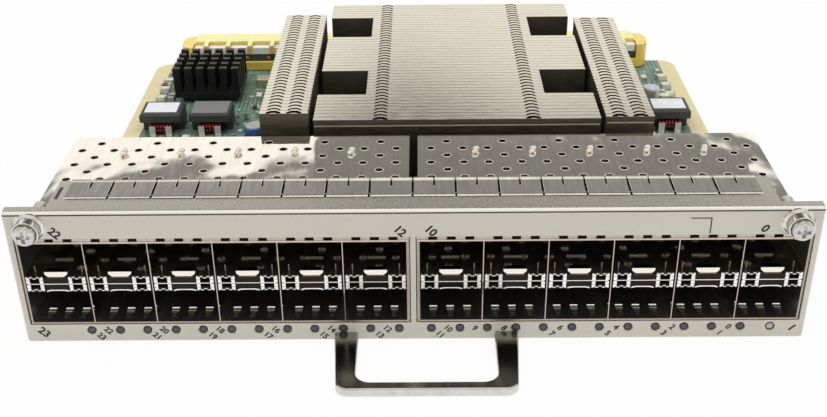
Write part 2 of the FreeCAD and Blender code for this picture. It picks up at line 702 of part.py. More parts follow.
def centre_fin_pack():
    zips = (SINK_X - CENTRE_ZIP_X, SINK_X + CENTRE_ZIP_X)
    fins = []
    for i in range(CENTRE_FINS):
        in_notch = any(0 <= i - first < NOTCH_FINS for first in (FRONT_NOTCH_FIRST, REAR_NOTCH_FIRST))
        half = SINK_W / 2 - (NOTCH_W if in_notch else 0)
        fins.append(fin(SINK_X - half, SINK_X + half, i, CENTRE_FINS, CENTRE_FIN_H, zips))
    return fins


def side_fin_pack(x0, height):
    middle = x0 + SIDE_PACK_W / 2
    zips = (middle - SIDE_ZIP_X, middle + SIDE_ZIP_X)
    return [fin(x0, x0 + SIDE_PACK_W, i, SIDE_FINS, height, zips) for i in range(SIDE_FINS)]


def heatsink_base():
    """Cold plate under all three fin packs."""
    centre = block(SINK_X - SINK_W / 2, SINK_X + SINK_W / 2, SINK_FRONT_Y, SINK_REAR_Y, BASE_Z, FIN_Z)
    side_rear_y = SINK_FRONT_Y + SIDE_FINS * FIN_PITCH
    sides = block(LEFT_PACK_X, RIGHT_PACK_X + SIDE_PACK_W, SINK_FRONT_Y, side_rear_y, BASE_Z, FIN_Z)
    hole_d = SINK_SCREW_D + 2 * SINK_SCREW_CLEAR
    holes = [rod_z(x, y, hole_d, BASE_Z - 1, FIN_Z + 1) for x, y in sink_screw_places()]
    return centre.fuse(sides).removeSplitter().cut(Part.makeCompound(holes))


def chip_under_sink(z0, z1):
    y = (SINK_FRONT_Y + SINK_REAR_Y) / 2
    return block(SINK_X - CHIP_W / 2, SINK_X + CHIP_W / 2, y - CHIP_W / 2, y + CHIP_W / 2, z0, z1)


def heatsink_screw(x, y):
    seat = FIN_Z + SINK_SPRING_H
    head = rod_z(x, y, SINK_SCREW_HEAD_D, seat, seat + SINK_SCREW_HEAD_H)
    return head.fuse(rod_z(x, y, SINK_SCREW_D, BOARD_RAISE, seat)).removeSplitter()


def heatsink_spring(x, y):
    mean_d = SINK_SCREW_D + 2 * SINK_SPRING_CLEAR + SINK_SPRING_WIRE
    return coil(mean_d, SINK_SPRING_WIRE, SINK_SPRING_TURNS, SINK_SPRING_H, V(x, y, FIN_Z), V(0, 0, 1))


PIN_SINK_X = -BOARD_HALF_W + PIN_SINK_EDGE_INSET
PIN_SINK_Y = CAGE_REAR_Y + PIN_SINK_SETBACK
PIN_SINK_W = (PIN_COLUMNS - 1) * PIN_PITCH_X + PIN_W
PIN_SINK_DEPTH = (PIN_ROWS - 1) * PIN_PITCH_Y + PIN_DEPTH
PIN_BASE_Z = BOARD_TOP + PIN_CHIP_H


def pin_heatsink():
    top = PIN_BASE_Z + PIN_BASE_T
    base = block(PIN_SINK_X, PIN_SINK_X + PIN_SINK_W, PIN_SINK_Y, PIN_SINK_Y + PIN_SINK_DEPTH,
                 PIN_BASE_Z, top)
    pins = []
    for i in range(PIN_COLUMNS):
        for j in range(PIN_ROWS):
            x = PIN_SINK_X + i * PIN_PITCH_X
            y = PIN_SINK_Y + j * PIN_PITCH_Y
            pins.append(block(x, x + PIN_W, y, y + PIN_DEPTH, top, top + PIN_H))
    return base.fuse(pins).removeSplitter()


def pin_chip():
    x = PIN_SINK_X + PIN_SINK_W / 2
    y = PIN_SINK_Y + PIN_SINK_DEPTH / 2
    return block(x - PIN_CHIP_W / 2, x + PIN_CHIP_W / 2, y - PIN_CHIP_DEPTH / 2, y + PIN_CHIP_DEPTH / 2,
                 BOARD_TOP, PIN_BASE_Z)


def coil_places():
    """Left corner of each inductor: two beside the left edge, one beside the right."""
    left = -BOARD_HALF_W + COIL_EDGE_INSET
    return [left, left + COIL_STEP, BOARD_HALF_W - COIL_EDGE_INSET - COIL_W]


COIL_Y = CAGE_REAR_Y + COIL_SETBACK


def coil_shell(x):
    """Ferrite block with a tunnel for the winding, and a chamfered cap that overhangs the front."""
    top = BOARD_TOP + COIL_H
    body = block(x, x + COIL_W, COIL_Y, COIL_Y + COIL_DEPTH, BOARD_TOP, top)
    rim = [e for e in body.Edges if e.BoundBox.ZMin > top - 1e-6]
    body = body.makeChamfer(COIL_CHAMFER, rim)
    tunnel = block(x + COIL_CHEEK, x + COIL_W - COIL_CHEEK, COIL_Y - 1, COIL_Y + COIL_DEPTH + 1,
                   BOARD_TOP, top - COIL_ROOF)
    porch = block(x - 1, x + COIL_W + 1, COIL_Y - 1, COIL_Y + CHEEK_SETBACK, BOARD_TOP, top - COIL_ROOF)
    return body.cut(tunnel.fuse(porch))


def coil_winding(x):
    side = COIL_CHEEK + WINDING_CLEAR
    return block(x + side, x + COIL_W - side, COIL_Y - WINDING_PROUD, COIL_Y + COIL_DEPTH + WINDING_PROUD,
                 BOARD_TOP, BOARD_TOP + COIL_H - COIL_ROOF - WINDING_CLEAR)


def coil_terminals(x):
    y1 = COIL_Y - WINDING_PROUD - WINDING_CLEAR
    xs = (x + COIL_CHEEK, x + COIL_W - COIL_CHEEK - TERMINAL_W)
    return [block(x0, x0 + TERMINAL_W, y1 - TERMINAL_L, y1, BOARD_TOP, BOARD_TOP + TERMINAL_T) for x0 in xs]


def can(x, y, d, height):
    """Can capacitor on its square base."""
    base = block(x - d / 2, x + d / 2, y - d / 2, y + d / 2, BOARD_TOP, BOARD_TOP + CAN_BASE_T)
    return base.fuse(rod_z(x, y, d, BOARD_TOP + CAN_BASE_T, BOARD_TOP + height))


def crystal_can():
    x = -BOARD_HALF_W + CRYSTAL_EDGE_INSET
    y = CAGE_REAR_Y + CRYSTAL_SETBACK
    return block(x, x + CRYSTAL_W, y, y + CRYSTAL_DEPTH, BOARD_TOP, BOARD_TOP + CRYSTAL_H)


def board_chips():
    """Small flat packages in a row behind the cages, on both sides of the heat sink."""
    chips = []
    for i in range(CHIP_ROW_COUNT):
        y = CAGE_REAR_Y + CHIP_ROW_SETBACK + i * CHIP_ROW_PITCH
        for x in (-BOARD_HALF_W + CHIP_EDGE_INSET, BOARD_HALF_W - CHIP_EDGE_INSET - SMALL_CHIP_W):
            chips.append(block(x, x + SMALL_CHIP_W, y, y + SMALL_CHIP_DEPTH,
                               BOARD_TOP, BOARD_TOP + SMALL_CHIP_H))
    return chips


def board_ceramics():
    """Ceramic parts in a row along each bare border, in front of the guard's arms."""
    last_y = COVER_FRONT_Y - ARM_L - CERAMIC_REAR_GAP - CERAMIC_DEPTH
    parts = []
    for i in range(CERAMIC_COUNT):
        y = last_y - i * CERAMIC_PITCH
        for x in (-BOARD_HALF_W + BORDER_W, BOARD_HALF_W - BORDER_W - CERAMIC_W):
            parts.append(block(x, x + CERAMIC_W, y, y + CERAMIC_DEPTH, BOARD_TOP, BOARD_TOP + CERAMIC_H))
    return parts


COVER_LEFT_X = COVER_X - COVER_W / 2
COVER_RIGHT_X = COVER_X + COVER_W / 2
COVER_TOP = BOARD_TOP + COVER_TOP_RISE


def connector_cover():
    """Moulded guard over the rear connectors, slotted for the board and open at the front."""
    shell = block(COVER_LEFT_X, COVER_RIGHT_X, COVER_FRONT_Y, COVER_REAR_Y, 0, COVER_TOP)
    corners = [(x, y) for x in (COVER_LEFT_X, COVER_RIGHT_X) for y in (COVER_FRONT_Y, COVER_REAR_Y)]
    shell = shell.makeFillet(COVER_END_R, upright_edges(shell, corners))
    x0, x1 = COVER_LEFT_X + COVER_END_WALL, COVER_RIGHT_X - COVER_END_WALL
    roof = COVER_TOP - COVER_T
    cavity = block(x0, x1, COVER_FRONT_Y + COVER_T, COVER_REAR_Y - COVER_T, COVER_T, roof)
    mouth = block(x0, x1, COVER_FRONT_Y - 1, COVER_FRONT_Y + COVER_T + 1, BOARD_TOP + COVER_LIP_H, roof)
    slot = block(COVER_LEFT_X - 1, COVER_RIGHT_X + 1, COVER_FRONT_Y - 1, BOARD_REAR_Y + COVER_FIT,
                 BOARD_RAISE - COVER_FIT, BOARD_TOP + COVER_FIT)
    roof_y = COVER_FRONT_Y + COVER_ROOF_SETBACK
    eave = block(x0, x1, COVER_FRONT_Y - 1, roof_y, roof - 1, COVER_TOP + 1)
    shell = shell.cut(Part.makeCompound([cavity, mouth]).cut(slot)).cut(slot).cut(eave)
    for x in (COVER_LEFT_X - 1, COVER_RIGHT_X - COVER_END_R):
        shell = shell.cut(block(x, x + COVER_END_R + 1, COVER_FRONT_Y - 1, COVER_REAR_Y + 1,
                                COVER_TOP - COVER_END_DROP, COVER_TOP + 1))
    adds = []
    hooks = int((x1 - x0) / HOOK_PITCH)
    for i in range(hooks):
        x = COVER_X + (i - (hooks - 1) / 2) * HOOK_PITCH
        finger = block(x - HOOK_W / 2, x + HOOK_W / 2, COVER_FRONT_Y, roof_y, roof, COVER_TOP)
        adds += [finger, block(x - HOOK_W / 2, x + HOOK_W / 2, COVER_FRONT_Y, COVER_FRONT_Y + COVER_T,
                               roof - HOOK_H, roof)]
    for x in (COVER_LEFT_X + ARM_INSET, COVER_RIGHT_X - ARM_INSET - ARM_W):
        adds.append(block(x, x + ARM_W, COVER_FRONT_Y - ARM_L, COVER_FRONT_Y + COVER_T,
                          BOARD_TOP, BOARD_TOP + ARM_H))
    return shell.fuse(adds).removeSplitter()


def backplane_connectors():
    """Housings on the board's rear edge, each with a nose that drops behind it."""
    x0 = COVER_LEFT_X + COVER_END_WALL + COVER_FIT
    span = COVER_W - 2 * (COVER_END_WALL + COVER_FIT)
    width = (span - (CONNECTOR_COUNT - 1) * CONNECTOR_GAP) / CONNECTOR_COUNT
    y0 = COVER_FRONT_Y + COVER_T + COVER_FIT
    y1 = COVER_REAR_Y - COVER_T - COVER_FIT
    housings = []
    for i in range(CONNECTOR_COUNT):
        x = x0 + i * (width + CONNECTOR_GAP)
        body = block(x, x + width, y0, y1, BOARD_TOP, BOARD_TOP + CONNECTOR_H)
        nose = block(x, x + width, BOARD_REAR_Y, y1, BOARD_TOP - CONNECTOR_DROP, BOARD_TOP)
        housings.append(body.fuse(nose).removeSplitter())
    return housings


save("front_panel", [front_panel()])
save("panel_overlay", [panel_overlay()])
save("panel_screws", [panel_screw(x, 0) for x in ear_places()])
save("panel_spacers", [panel_spacer(x) for x in ear_places()])
save("finger_strip", [finger_strip()])
save("handle", [handle()])
save("port_lamps", [lamp(x) for x in lamp_places()])
save("status_lamp", [lamp(STATUS_LAMP_X)])
cage_nodes = {
    "cage_frame": [cage_frame()],
    "cage_lid": [cage_lid()],
    "cage_dividers": [cage_divider(i) for i in range(1, PORT_COLUMNS)],
    "port_separators": [port_separator(i) for i in range(PORT_COLUMNS)],
    "port_connectors": [port_connector(i) for i in range(PORT_COLUMNS)],
    "cage_gasket": [cage_gasket()],
}
for name, solids in cage_nodes.items():
    save("right_" + name, solids)
    save("left_" + name, mirrored(solids))
for side, x in (("left_", -SCREW_X), ("right_", SCREW_X)):
    save(side + "screw_ferrule", [screw_ferrule(x)])
    save(side + "screw_spring", [screw_spring(x)])
    save(side + "captive_screw", [captive_screw(x)])
save("circuit_board", [circuit_board()])
save("heatsink_base", [heatsink_base()])
save("centre_fin_pack", centre_fin_pack())
save("left_fin_pack", side_fin_pack(LEFT_PACK_X, LEFT_FIN_H))
save("right_fin_pack", side_fin_pack(RIGHT_PACK_X, RIGHT_FIN_H))
save("processor_chip", [chip_under_sink(BOARD_TOP, CHIP_TOP)])
save("thermal_pad", [chip_under_sink(CHIP_TOP, BASE_Z)])
save("heatsink_screws", [heatsink_screw(x, y) for x, y in sink_screw_places()])
save("heatsink_springs", [heatsink_spring(x, y) for x, y in sink_screw_places()])
save("pin_heatsink", [pin_heatsink()])
save("pin_chip", [pin_chip()])
save("coil_shells", [coil_shell(x) for x in coil_places()])
save("coil_windings", [coil_winding(x) for x in coil_places()])
save("coil_terminals", [pad for x in coil_places() for pad in coil_terminals(x)])
save("can_capacitor", [can(BOARD_HALF_W - CAN_EDGE_INSET, CAGE_REAR_Y + CAN_SETBACK, CAN_D, CAN_H)])
save("blue_capacitor", [can(-BOARD_HALF_W + BLUE_CAN_EDGE_INSET, CAGE_REAR_Y + BLUE_CAN_SETBACK,
                            BLUE_CAN_D, BLUE_CAN_H)])
save("crystal_can", [crystal_can()])
save("board_chips", board_chips())
save("board_ceramics", board_ceramics())
save("backplane_connectors", backplane_connectors())
save("connector_cover", [connector_cover()])
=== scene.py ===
import math
import random
import bmesh
import bpy
from mathutils import Matrix, Vector


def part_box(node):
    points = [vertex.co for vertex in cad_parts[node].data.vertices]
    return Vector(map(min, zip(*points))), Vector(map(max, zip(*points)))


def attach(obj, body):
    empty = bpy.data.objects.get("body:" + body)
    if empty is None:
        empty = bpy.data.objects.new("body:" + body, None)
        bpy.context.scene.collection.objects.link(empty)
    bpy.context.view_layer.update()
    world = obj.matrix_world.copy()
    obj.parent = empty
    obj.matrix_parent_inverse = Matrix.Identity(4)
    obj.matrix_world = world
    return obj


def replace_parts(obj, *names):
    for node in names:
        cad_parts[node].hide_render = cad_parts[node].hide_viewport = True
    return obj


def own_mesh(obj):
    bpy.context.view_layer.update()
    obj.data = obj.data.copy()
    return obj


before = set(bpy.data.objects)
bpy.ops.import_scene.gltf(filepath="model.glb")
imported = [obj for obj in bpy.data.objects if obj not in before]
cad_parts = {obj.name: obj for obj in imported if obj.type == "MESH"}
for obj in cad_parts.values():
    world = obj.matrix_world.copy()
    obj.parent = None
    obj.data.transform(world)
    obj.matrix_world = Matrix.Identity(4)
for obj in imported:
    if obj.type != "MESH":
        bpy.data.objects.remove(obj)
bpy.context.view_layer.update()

# Circuit board: a glass-fibre laminate with green solder mask over copper tracks.
# The mask stops short of both sides, which stay bare cream so that they slide in card guides.
# It is routed from a panel and carries every other piece of the card.
MM = 0.001
BORDER_WIDTH = 5.0
MASK_T = 0.05
MASK_DARK = (0.085, 0.165, 0.122, 1)
MASK_LIGHT = (0.159, 0.260, 0.200, 1)
TRACK_GREEN = (0.256, 0.365, 0.285, 1)
TRACK_PITCH = 1.3
TRACK_LEVEL = 0.62
LAID_LEVEL = 0.47
BARE_DARK = (0.79, 0.68, 0.38, 1)
BARE_LIGHT = (0.84, 0.74, 0.44, 1)
VIA_SILVER = (0.60, 0.63, 0.54, 1)
VIA_SPACING = 3.2
VIA_SHARE = 0.13
SHADE_STOPS = (0.3, 0.7)


def box_mm(node):
    """A node's lowest and highest corner, in millimetres."""
    low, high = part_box(node)
    return low / MM, high / MM


def feed(value, socket):
    """Link a socket to another node's output, or set it to a plain value."""
    if isinstance(value, bpy.types.NodeSocket):
        socket.id_data.links.new(value, socket)
    else:
        socket.default_value = value


def add_node(tree, kind, sockets=None, **settings):
    """A new shader node with its settings made and its sockets fed."""
    node = tree.nodes.new(kind)
    for name, value in settings.items():
        setattr(node, name, value)
    for name, value in (sockets or {}).items():
        feed(value, node.inputs[name])
    return node


def start_finish(name, roughness, metallic):
    """A new finish, its shader and the piece's own coordinates."""
    finish = bpy.data.materials.new(name)
    finish.use_nodes = True
    shader = finish.node_tree.nodes["Principled BSDF"]
    shader.inputs["Roughness"].default_value = roughness
    shader.inputs["Metallic"].default_value = metallic
    place = add_node(finish.node_tree, "ShaderNodeTexCoord").outputs["Object"]
    return finish, shader, place


def stretched(place, stretch):
    """Coordinates squeezed along some axes, so that a grain runs along the others."""
    return add_node(place.id_data, "ShaderNodeMapping", {"Scale": stretch, "Vector": place}).outputs["Vector"]


def cloud(place, size, detail=3.0):
    """Soft noise whose patches are about the given size in millimetres."""
    sockets = {"Scale": 1 / (size * MM), "Detail": detail, "Vector": place}
    return add_node(place.id_data, "ShaderNodeTexNoise", sockets).outputs["Fac"]


def shades(amount, dark, light):
    """Colour that runs from dark to light as the amount rises."""
    ramp = add_node(amount.id_data, "ShaderNodeValToRGB", {"Fac": amount})
    for stop, at, colour in zip(ramp.color_ramp.elements, SHADE_STOPS, (dark, light)):
        stop.position = at
        stop.color = colour
    return ramp.outputs["Color"]


def sums(operation, first, second=0.0):
    """One step of arithmetic on a value and a number or another value."""
    step = add_node(first.id_data, "ShaderNodeMath", {0: first, 1: second}, operation=operation)
    return step.outputs["Value"]


def painted_over(mask, under, over):
    """Over's colour where the mask is 1, and under's elsewhere."""
    sockets = {0: mask, 6: under, 7: over}
    return add_node(mask.id_data, "ShaderNodeMix", sockets, data_type="RGBA").outputs[2]


def axes_of(place):
    """The x, y and z of coordinates."""
    return add_node(place.id_data, "ShaderNodeSeparateXYZ", {"Vector": place}).outputs


def paint(shader, colour):
    """Set a finish's colour."""
    feed(colour, shader.inputs["Base Color"])


def uneven_gloss(shader, amount, low, high):
    """Roughness that goes from low to high as the amount rises."""
    spread = add_node(amount.id_data, "ShaderNodeMapRange", {"To Min": low, "To Max": high, "Value": amount})
    feed(spread.outputs["Result"], shader.inputs["Roughness"])


def relief(shader, amount, height):
    """Raised and sunk surface, its height in millimetres."""
    sockets = {"Strength": 1.0, "Distance": height * MM, "Height": amount}
    bump = add_node(amount.id_data, "ShaderNodeBump", sockets)
    feed(bump.outputs["Normal"], shader.inputs["Normal"])


def dress(finish, *nodes):
    """Give CAD nodes their finish."""
    for node in nodes:
        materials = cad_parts[node].data.materials
        materials.clear()
        materials.append(finish)


def track_lines(place, direction):
    """1 on tracks laid side by side, and 0 between them."""
    sockets = {"Scale": math.pi / 10 / (TRACK_PITCH * MM), "Vector": place}
    wave = add_node(place.id_data, "ShaderNodeTexWave", sockets, bands_direction=direction)
    return sums("GREATER_THAN", wave.outputs["Fac"], TRACK_LEVEL)


def board_laminate():
    """Green mask over tracks and vias, with bare cream borders and cut sides."""
    finish, shader, place = start_finish("board_laminate", 0.38, 0.0)
    x, _, z = axes_of(place)
    low, high = box_mm("circuit_board")
    green = shades(cloud(place, 6.0), MASK_DARK, MASK_LIGHT)
    choice = sums("GREATER_THAN", cloud(place, 14.0, 1.0), 0.5)
    across = sums("MULTIPLY", track_lines(place, "X"), choice)
    along = sums("MULTIPLY", track_lines(place, "Y"), sums("SUBTRACT", choice, 1.0))
    tracks = sums("MAXIMUM", across, sums("ABSOLUTE", along))
    laid = sums("GREATER_THAN", cloud(place, 9.0, 2.0), LAID_LEVEL)
    tracks = sums("MULTIPLY", tracks, laid)
    colour = painted_over(tracks, green, TRACK_GREEN)
    sockets = {"Scale": 1 / (VIA_SPACING * MM), "Vector": place}
    cells = add_node(place.id_data, "ShaderNodeTexVoronoi", sockets)
    vias = sums("LESS_THAN", cells.outputs["Distance"], VIA_SHARE)
    colour = painted_over(vias, colour, VIA_SILVER)
    border = sums("GREATER_THAN", sums("ABSOLUTE", x), (high.x - BORDER_WIDTH) * MM)
    over_foot = sums("GREATER_THAN", z, (low.z + MASK_T) * MM)
    cut_side = sums("MULTIPLY", over_foot, sums("LESS_THAN", z, (high.z - MASK_T) * MM))
    bare = sums("MAXIMUM", border, cut_side)
    cream = shades(cloud(place, 3.0), BARE_DARK, BARE_LIGHT)
    paint(shader, painted_over(bare, colour, cream))
    uneven_gloss(shader, cloud(place, 2.0), 0.30, 0.48)
    relief(shader, tracks, 0.03)
    return finish


dress(board_laminate(), "circuit_board")

# Small parts on the board: moulded chips with tinned legs, cream ceramic blocks with tinned ends,
# and a scatter of chip resistors and capacitors in pale and dark ceramic.
# All are soldered flat on the laminate.
LEG_WIDTH = 0.4
LEG_PITCH = 1.0
LEG_REACH = 0.9
LEG_FOOT_H = 0.75
SHOULDER_SHARE = 0.4
SHOULDER_LOW = 0.6
SHOULDER_HIGH = 0.8
LEG_EASE = 0.06
END_CAP = 0.5
CAP_PROUD = 0.04
CAP_EASE = 0.1
SPECK_LENGTHS = (1.2, 1.6, 2.0, 2.6, 3.4, 4.4)
SPECK_WIDTH_SHARE = 0.5
SPECK_HEIGHT_SHARE = 0.9
SPECK_CAP_SHARE = 0.22
SPECK_CLEAR = 0.35
SPECK_TRIES = 2400
SPECK_SEED = 11
EDGE_CLEAR = 1
GUARD_CLEAR = 3
CREASE = 0.6
PLAIN = (1, 1, 1)


def grained_finish(name, colour, roughness, metallic=0.0, grain=1.5, drift=0.12, height=0.004, stretch=PLAIN):
    """Mottled colour, uneven gloss and fine relief, with its grain and height in millimetres."""
    finish, shader, place = start_finish(name, roughness, metallic)
    if stretch != PLAIN:
        place = stretched(place, stretch)
    fine = cloud(place, grain)
    dark = tuple(c * (1 - drift) for c in colour) + (1,)
    light = tuple(min(1.0, c * (1 + drift)) for c in colour) + (1,)
    paint(shader, shades(fine, dark, light))
    uneven_gloss(shader, cloud(place, grain * 2.5), roughness * 0.75, roughness * 1.25)
    relief(shader, fine, height)
    return finish


def add_block(bm, low, high, finish=0):
    """Box between two corners, in millimetres."""
    spots = [(x, y, z) for z in (low[2], high[2]) for y in (low[1], high[1]) for x in (low[0], high[0])]
    corners = [bm.verts.new(spot) for spot in spots]
    for ring in ((0, 2, 3, 1), (4, 5, 7, 6), (0, 1, 5, 4), (2, 6, 7, 3), (0, 4, 6, 2), (1, 3, 7, 5)):
        bm.faces.new([corners[i] for i in ring]).material_index = finish


def make_piece(name, bm, finishes, body="card", bevel=0.0, smooth=False):
    """Turn a mesh drawn in millimetres into a piece that rides on a body."""
    if bevel:
        sharp = [e for e in bm.edges if e.is_manifold and e.calc_face_angle() > CREASE]
        bmesh.ops.bevel(bm, geom=sharp, offset=bevel, segments=2, profile=0.5, affect="EDGES",
                        clamp_overlap=True)
    bmesh.ops.scale(bm, vec=(MM, MM, MM), verts=bm.verts)
    bmesh.ops.recalc_face_normals(bm, faces=bm.faces)
    for face in bm.faces:
        face.smooth = smooth
    mesh = bpy.data.meshes.new(name)
    bm.to_mesh(mesh)
    bm.free()
    for finish in finishes:
        mesh.materials.append(finish)
    piece = bpy.data.objects.new(name, mesh)
    bpy.context.scene.collection.objects.link(piece)
    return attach(piece, body)


def box_round(spots):
    """Lowest and highest corner of a group of points."""
    return Vector(map(min, zip(*spots))), Vector(map(max, zip(*spots)))


def solid_boxes(node):
    """Corners in millimetres of each separate solid in a node."""
    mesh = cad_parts[node].data
    spots = [tuple(round(c / MM, 4) for c in v.co) for v in mesh.vertices]
    parent = {spot: spot for spot in spots}

    def root(spot):
        while parent[spot] != spot:
            parent[spot] = parent[parent[spot]]
            spot = parent[spot]
        return spot

    for edge in mesh.edges:
        parent[root(spots[edge.vertices[0]])] = root(spots[edge.vertices[1]])
    groups = {}
    for spot in parent:
        groups.setdefault(root(spot), []).append(spot)
    boxes = [box_round(group) for group in groups.values()]
    return sorted(boxes, key=lambda pair: (round(pair[0].x, 2), round(pair[0].y, 2)))


def spaced(low, high, pitch, margin):
    """Places at an even pitch along x, centred between two corners."""
    count = int((high.x - low.x - margin) / pitch) + 1
    return [(low.x + high.x) / 2 + (i - (count - 1) / 2) * pitch for i in range(count)]


moulding = grained_finish("chip_moulding", (0.030, 0.030, 0.032), 0.45, grain=0.5, height=0.01)
tinned = grained_finish("solder_tin", (0.74, 0.73, 0.70), 0.28, 1.0, grain=0.6, height=0.01)
cream_ceramic = grained_finish("cream_ceramic", (0.80, 0.76, 0.64), 0.4, grain=0.5, height=0.005)
dark_ceramic = grained_finish("dark_ceramic", (0.10, 0.075, 0.06), 0.35, grain=0.4, height=0.005)
dress(moulding, "board_chips", "processor_chip", "pin_chip")
dress(cream_ceramic, "board_ceramics")

legs = bmesh.new()
for low, high in solid_boxes("board_chips"):
    for x in spaced(low, high, LEG_PITCH, LEG_WIDTH):
        for edge, way in ((low.y, -1), (high.y, 1)):
            tip = edge + way * LEG_REACH
            shoulder = edge + way * LEG_REACH * SHOULDER_SHARE
            for end, foot, top in ((edge, SHOULDER_LOW, SHOULDER_HIGH), (tip, 0.0, LEG_FOOT_H)):
                add_block(legs, (x - LEG_WIDTH / 2, min(end, shoulder), low.z + foot),
                          (x + LEG_WIDTH / 2, max(end, shoulder), low.z + top))
make_piece("chip_legs", legs, [tinned], bevel=LEG_EASE)

caps = bmesh.new()
for low, high in solid_boxes("board_ceramics"):
    for x0, x1 in ((low.x - CAP_PROUD, low.x + END_CAP), (high.x - END_CAP, high.x + CAP_PROUD)):
        add_block(caps, (x0, low.y - CAP_PROUD, low.z), (x1, high.y + CAP_PROUD, high.z + CAP_PROUD))
make_piece("ceramic_end_caps", caps, [tinned], bevel=CAP_EASE)

board_low, board_high = box_mm("circuit_board")
taken = []
for node in ("board_chips", "board_ceramics", "coil_shells", "coil_windings", "coil_terminals",
             "can_capacitor", "blue_capacitor", "crystal_can", "pin_chip", "pin_heatsink", "heatsink_base",
             "connector_cover"):
    taken += solid_boxes(node)
cage_rear = box_mm("left_cage_frame")[1].y
guard_front = box_mm("backplane_connectors")[0].y
draw = random.Random(SPECK_SEED)
specks = bmesh.new()
for _ in range(SPECK_TRIES):
    x = draw.uniform(board_low.x + BORDER_WIDTH + EDGE_CLEAR, board_high.x - BORDER_WIDTH - EDGE_CLEAR)
    y = draw.uniform(cage_rear + EDGE_CLEAR, guard_front - GUARD_CLEAR)
    length = draw.choice(SPECK_LENGTHS)
    width = length * SPECK_WIDTH_SHARE
    lying = draw.random() < 0.5
    shade = 0 if draw.random() < 0.5 else 1
    half_x, half_y = (length / 2, width / 2) if lying else (width / 2, length / 2)
    low = Vector((x - half_x, y - half_y, board_high.z))
    high = Vector((x + half_x, y + half_y, board_high.z + width * SPECK_HEIGHT_SHARE))
    if any(low.x < b.x + SPECK_CLEAR and high.x > a.x - SPECK_CLEAR and low.y < b.y + SPECK_CLEAR
           and high.y > a.y - SPECK_CLEAR for a, b in taken):
        continue
    taken.append((low, high))
    axis = 0 if lying else 1
    cap = length * SPECK_CAP_SHARE
    cuts = (low[axis], low[axis] + cap, high[axis] - cap, high[axis])
    for start, end, finish in zip(cuts, cuts[1:], (2, shade, 2)):
        near, far = low.copy(), high.copy()
        near[axis], far[axis] = start, end
        add_block(specks, near, far, finish)
make_piece("board_specks", specks, [cream_ceramic, dark_ceramic, tinned])

# Power inductors: a ferrite block over a winding of red enamelled wire, on tinned tabs.
# Two carry a bare white paper label and the third a ground metal top.
# They stand in front of the pin heat sink and beside the right-hand border.
UP = Vector((0, 0, 1))
EDGE_ROUND = 0.12
CAP_CHAMFER = 0.75
LABEL_SIDE_GAP = 1.3
LABEL_END_GAP = 1.5
LABEL_T = 0.06
LABEL_BEDDED = 0.02
WIRE_R = 0.42
TURN_PITCH = 2.1 * WIRE_R
TURN_STEPS = 20
TURN_SQUARENESS = 0.6
TAB_H = 2.8
TAB_T = 0.3
TAB_INSET = 0.2
TAB_EASE = 0.1


def mesh_mm(node):
    """A CAD node's mesh in millimetres, joined up at its edges."""
    bm = bmesh.new()
    bm.from_mesh(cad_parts[node].data)
    bmesh.ops.scale(bm, vec=(1 / MM, 1 / MM, 1 / MM), verts=bm.verts)
    bmesh.ops.remove_doubles(bm, verts=bm.verts, dist=0.0005)
    return bm


def rounded_copy(node, name, finish, width):
    """A copy of a CAD node with its edges eased, which stands for that node."""
    bm = mesh_mm(node)
    bmesh.ops.dissolve_limit(bm, angle_limit=0.02, verts=bm.verts, edges=bm.edges)
    for face in bm.faces:
        face.material_index = 0
    piece = make_piece(name, bm, [finish], bevel=width)
    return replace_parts(piece, node)


def add_ring(bm, middle, across, up, sides):
    """Ring of points round a middle, from its two half axes."""
    angles = [2 * math.pi * k / sides for k in range(sides)]
    return [bm.verts.new(middle + math.cos(a) * across + math.sin(a) * up) for a in angles]


def skin_rings(bm, rings, finish=0, closed=False):
    """Skin over a run of rings, closed on itself or with an end at both rings."""
    pairs = list(zip(rings, rings[1:])) + ([(rings[-1], rings[0])] if closed else [])
    for first, second in pairs:
        for k in range(len(first)):
            bm.faces.new((first[k - 1], first[k], second[k], second[k - 1])).material_index = finish
    if not closed:
        for ring in (rings[0], rings[-1]):
            bm.faces.new(ring).material_index = finish


def add_tube(bm, points, radius, sides=8, closed=False):
    """Round wire through a run of points."""
    rings = []
    count = len(points)
    for i, point in enumerate(points):
        ahead = points[(i + 1) % count] if closed or i < count - 1 else point
        behind = points[i - 1] if closed or i else point
        along = (ahead - behind).normalized()
        side = along.cross(UP)
        side = side.normalized() if side.length > 1e-3 else Vector((1, 0, 0))
        rings.append(add_ring(bm, point, radius * side, radius * side.cross(along), sides))
    skin_rings(bm, rings, closed=closed)


ferrite = grained_finish("ferrite_grey", (0.045, 0.047, 0.045), 0.5, grain=0.5, height=0.02)
ground_metal = grained_finish("ground_metal", (0.27, 0.275, 0.26), 0.42, 0.4, grain=0.6, stretch=(1, 6, 1))
paper = grained_finish("label_paper", (0.86, 0.87, 0.90), 0.6, grain=2.5, drift=0.05)
red_enamel = grained_finish("red_enamel", (0.20, 0.012, 0.010), 0.25, grain=0.8)
bright_tabs = grained_finish("bright_tabs", (0.80, 0.79, 0.76), 0.35, 0.5, grain=0.6)
rounded_copy("coil_shells", "ferrite_blocks", ferrite, EDGE_ROUND)
dress(tinned, "coil_terminals")
tops = bmesh.new()
for i, (low, high) in enumerate(solid_boxes("coil_shells")):
    grey = 1 if i == 1 else 0
    side, end = (CAP_CHAMFER, CAP_CHAMFER) if grey else (LABEL_SIDE_GAP, LABEL_END_GAP)
    add_block(tops, (low.x + side, low.y + end, high.z - LABEL_BEDDED),
              (high.x - side, high.y - end, high.z + LABEL_T), grey)
make_piece("inductor_tops", tops, [paper, ground_metal])
tabs = bmesh.new()
for low, high in solid_boxes("coil_terminals"):
    add_block(tabs, (low.x + TAB_INSET, high.y - TAB_T, high.z), (high.x - TAB_INSET, high.y, high.z + TAB_H))
make_piece("inductor_tabs", tabs, [bright_tabs], bevel=TAB_EASE)
